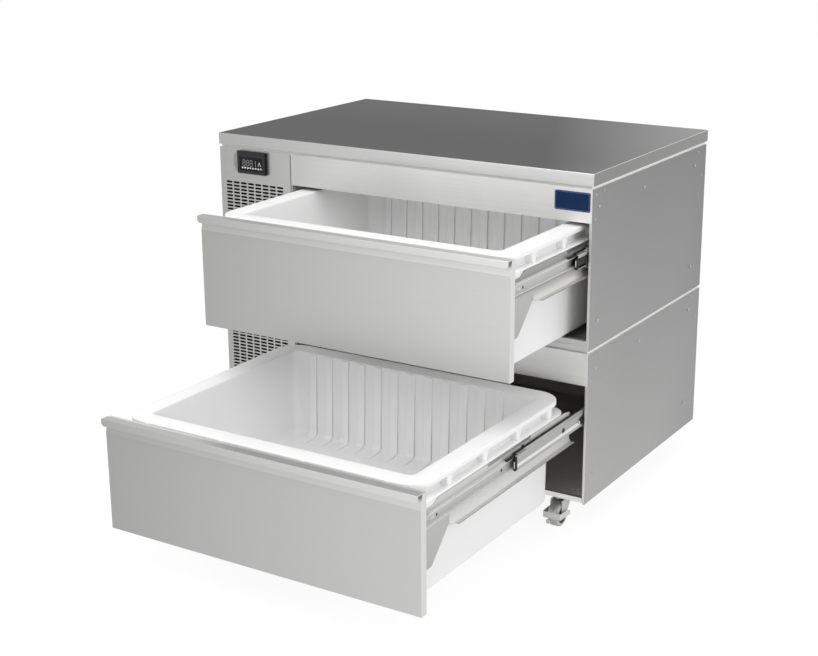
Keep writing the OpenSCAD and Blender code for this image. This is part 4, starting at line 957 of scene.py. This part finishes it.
for unit, top, front in units:
    body = shell("body", (0.372, 0.052, 0.690, -0.361, -0.350), 0.042, 0.009, (
        (0.3735, 0.0505, 0.694, -0.16), (0.3740, 0.050, 0.694, -0.133), (0.378, 0.046, 0.697, -0.130),
        (0.405, 0.0405, 0.6995, -0.130), (0.407, 0.040, 0.700, -0.129), (0.407, 0.040, 0.700, -0.127),
        (0.4055, 0.041, 0.699, -0.126)))
    neck = shell("neck", (0.386, 0.061, 0.675, -0.1262, -0.1255), 0.060, 0, (
        (0.383, 0.064, 0.672, -0.122), (0.382, 0.065, 0.671, -0.104), (0.384, 0.063, 0.673, -0.101),
        (0.402, 0.045, 0.691, -0.101), (0.4037, 0.0433, 0.6927, -0.1003), (0.404, 0.043, 0.693, -0.0985),
        (0.404, 0.043, 0.693, -0.0920), (0.4034, 0.0436, 0.6924, -0.0903),
        (0.4018, 0.0452, 0.6908, -0.0892), (0.400, 0.047, 0.689, -0.089)))
    edit()
    pick("faces", lambda f: f.normal.z < -0.99 and len(f.verts) > 8)
    bpy.ops.mesh.delete(type="FACE")
    leave()
    well = shell("well", (0.350, 0.099, 0.635, -0.314, -0.29), 0.016, 0.012, (
        (0.3545, 0.0925, 0.6420, -0.10), (0.355, 0.092, 0.6425, -0.0920), (0.3554, 0.0916, 0.6429, -0.0905),
        (0.3564, 0.0906, 0.6439, -0.0894), (0.358, 0.089, 0.6455, -0.089)))
    edit()
    pick_all()
    bpy.ops.mesh.flip_normals()
    leave()
    tub = merge(f"{unit}_bin_tub", [body, neck, well])
    edit()
    for low, high in ((-0.0895, -0.0885), (-0.1270, -0.1250)):
        pick("edges", lambda e: len(e.link_faces) == 1 and top + low < middle_of(e).z < top + high)
        bpy.ops.mesh.bridge_edge_loops()
    turn_out()
    smooth(tub, 34)
    finish(tub, f"{unit}_drawer", "bin_plastic", moulded_white, f"{unit}_bin")

    flute = block("flute", (-0.0113, front + 0.6385, top - 0.3135), (0.0113, front + 0.6445, top - 0.0925))
    edit()
    cut((0, 0, top - 0.309), (0, 0, 1))
    pick("faces", lambda f: f.normal.y < -0.9 and middle_of(f).z < top - 0.309)
    extrude(0, -0.062, 0)
    pick("verts", lambda v: v.co.z < top - 0.3 and v.co.y > front + 0.63)
    move(0, -0.0095, 0)
    pick("verts", lambda v: v.co.z > top - 0.3095 and v.co.y < front + 0.58)
    move(0, 0, -0.0044)
    pick("edges", lambda e: runs(e, 0) and abs(middle_of(e).z - top + 0.309) < 0.001
        and abs(middle_of(e).y - front - 0.629) < 0.003)
    bevel(0.014, 5)
    pick("edges", lambda e: abs(e.calc_face_angle(0)) > 0.6 and middle_of(e).y < front + 0.6425
        and middle_of(e).z > top - 0.3130 and not runs(e, 0))
    bevel(0.0014, 3)
    leave()
    flutes = merge(f"{unit}_bin_flutes",
        [twin(flute, Matrix.Translation((-0.1797 + 0.0498 * k, 0, 0))) for k in range(12)])
    bpy.data.objects.remove(flute)
    smooth(flutes, 50)
    finish(flutes, f"{unit}_drawer", "bin_plastic", moulded_white)

    gusset = block("gusset", (0.3815, -0.0065, -0.1262), (0.4025, 0.0065, -0.1002))
    edit()
    pick("verts", lambda v: v.co.z > -0.11)
    bpy.ops.transform.resize(value=(1, 1.9, 1), center_override=(0, 0, 0))
    pick("edges", lambda e: middle_of(e).x > 0.395)
    bevel(0.002, 3)
    leave()
    stays = []
    for side in (-1, 1):
        for i in range(4):
            stays.append(twin(gusset, Matrix.Translation((mid_x, front + 0.163 + 0.151 * i, top))
                @ Matrix.Rotation(math.radians(0 if side == 1 else 180), 4, "Z")))
    bpy.data.objects.remove(gusset)
    for side in (-1, 1):
        stays.append(block("hook", (mid_x + side * 0.4000, front + 0.042, top - 0.1430),
            (mid_x + side * 0.4058, front + 0.104, top - 0.1290)))
    for x in (-0.210, 0.003, 0.223, 0.438):
        stays.append(block("tab", (x - 0.005, front + 0.0415, top - 0.0975), (x + 0.005, front + 0.046,
            top - 0.0915)))
        round_all(0.0008, 2)
    ribs = merge(f"{unit}_bin_stays", stays)
    smooth(ribs, 40)
    finish(ribs, f"{unit}_drawer", "bin_plastic", moulded_white)

# Castors. Zinc-plated swivel castors: a pressed hood and two legs under a ball race, a grey tread
# on a dark core, bolted axles, and a tread-down brake strap round each front wheel. The chromed hood
# carries a painted reflection, bright low down and dark at its top.
castor_zinc = coated("zinc-plated castor steel", "#C2C3C2", "#9EA09F", 160, 0.36, 0.0001, 0.8)
# Painted reflection: bright low on the hood, dark at its top.
castor_painted_reflection = brushed("chromed castor steel, painted reflection", "#F4F4F2", "#A6A6A4", (0, 0, 1), (0.034, 0.058),
    (260, 3, 3), 0.36, 0.5, 1.0, 0.3)
tread_grey = coated("rubber tread, grey", "#D2D2D0", "#C4C4C2", 500, 0.6)
core_dark = coated("nylon wheel core, dark", "#4A4A4C", "#3E3E40", 600, 0.5)
strap_light = coated("zinc-plated brake strap", "#DEDEDC", "#CFCFCD", 200, 0.45, 0.0001, 0.3)
carry(castor_zinc, "castor_plates")


def drum(name, radius, depth, place, way, round_off, dish):
    """A cylinder along X, Y or Z with rounded ends; dish holds the insets of its end faces, and
    how far each ring goes in."""
    made = cylinder(name, 48, radius, depth, place, {"X": (0, 90, 0), "Y": (90, 0, 0), "Z": (0, 0, 0)}[way])
    axis = "XYZ".index(way)
    edit()
    for sign in (-1, 1):
        pick("faces", lambda f: f.normal[axis] * sign > 0.9)
        bevel(round_off, 4)
        pick("faces", lambda f: f.normal[axis] * sign > 0.9 and len(f.verts) > 8)
        for rim_in, sink in dish:
            inset(rim_in)
            move(*[-sign * sink if i == axis else 0 for i in range(3)])
    leave()
    return made


def place_castor(name, parts, spot, body, slot_name, material, node):
    """Joins a castor's parts, moves them under their plate, and lets them stand for a node."""
    made = merge(name, parts)
    made.data.transform(Matrix.Translation((spot[0], spot[1], 0)))
    smooth(made, 35)
    finish(made, body, slot_name, material, node)


axle_y, axle_z = -0.025, 0.030
for tag, x, y in (("fl", -0.467, -0.305), ("fr", 0.467, -0.305), ("rl", -0.430, 0.290),
        ("rr", 0.430, 0.290)):
    parts = [drum("race", 0.024, 0.0095, (0, 0, 0.07475), "Z", 0.0022, ((0.006, 0.0008),))]
    hood = cylinder("hood", 72, 0.0342, 0.0215, (-0.0015, axle_y, axle_z), (0, 90, 0),
        end_fill_type="NOTHING")
    edit()
    for angle, way in ((22, -1), (128, 1)):
        turned = math.radians(angle)
        cut((0, axle_y, axle_z), (0, way * math.sin(turned), way * math.cos(turned)), clear_outer=True)
    leave()
    modify(hood, "SOLIDIFY", thickness=0.0018, offset=0)
    modify(hood, "BEVEL", width=0.0006, segments=2, angle_limit=math.radians(40))
    dress(hood, castor_painted_reflection)
    parts.append(hood)
    for shift in (-0.0085, -0.0015, 0.0055):
        parts.append(twin(hood, Matrix.Translation((shift, -0.0008, 0.0008))
            @ Matrix.Scale(0.16, 4, (1, 0, 0))))
    for side in (-1, 1):
        leg = block("leg", (side * 0.0145, -0.034, 0.021), (side * 0.0172, 0.018, 0.0705))
        edit()
        pick("verts", lambda v: v.co.z < 0.03 and v.co.y > 0)
        move(0, -0.0345, 0)
        pick("edges", lambda e: runs(e, 0) and middle_of(e).z < 0.03)
        bevel(0.006, 5)
        pick_all()
        bpy.ops.mesh.bevel(offset=0.0004, segments=1, affect="EDGES", clamp_overlap=True)
        leave()
        parts.append(leg)
        parts.append(drum("bolt", 0.0062, 0.0022, (side * 0.0183, axle_y, axle_z), "X", 0.0007,
            ((0.0022, 0.0006),)))
    place_castor(f"castor_{tag}_fork", parts, (x, y), f"fork_{tag}", "castor_steel", castor_zinc,
        f"castor_fork_{tag}")
    tyre = drum("tyre", 0.030, 0.026, (0, axle_y, axle_z), "X", 0.0045, ((0.004, 0), (0.0006, 0.003),
        (0.009, 0.0006), (0.0004, -0.0024)))
    dress(tyre, tread_grey, core_dark)
    for part in tyre.data.polygons:
        reach = math.hypot(part.center.y - axle_y, part.center.z - axle_z)
        part.material_index = 1 if reach < 0.0215 else 0
    place_castor(f"castor_{tag}_wheel", [tyre], (x, y), f"wheel_{tag}", "wheel_rubber", tread_grey,
        f"castor_wheel_{tag}")
    if y < 0:
        let_go()
        bpy.ops.mesh.primitive_plane_add(size=1, location=(0, -0.0583, 0.0372),
            rotation=(math.radians(90), 0, 0))
        strap = bpy.context.object
        strap.scale = (0.0480, 0.0165, 1)
        settle()
        edit()
        for reach in (0.012, 0.022, 0.016):
            for side in (-1, 1):
                pick("edges", lambda e: runs(e, 2) and len(e.link_faces) == 1
                    and middle_of(e).x * side > 0.02)
                extrude(side * 0.0004, reach, 0)
        pick("verts", lambda v: v.co.y > -0.012)
        bpy.ops.transform.resize(value=(1, 1, 0.6), center_override=(0, 0, 0.030))
        turn_out()
        pick("edges", lambda e: runs(e, 2) and middle_of(e).y < -0.058)
        bevel(0.0025, 4)
        leave()
        modify(strap, "SOLIDIFY", thickness=0.0016, offset=0)
        modify(strap, "BEVEL", width=0.0004, segments=2, angle_limit=math.radians(40))
        pedal = drum("pedal", 0.0062, 0.0032, (-0.0100, -0.0572, 0.0195), "Y", 0.0008, ((0.0022, 0.0009),))
        place_castor(f"castor_{tag}_brake", [strap, pedal], (x, y), f"brake_{tag}", "castor_steel",
            strap_light, f"castor_brake_{tag}")
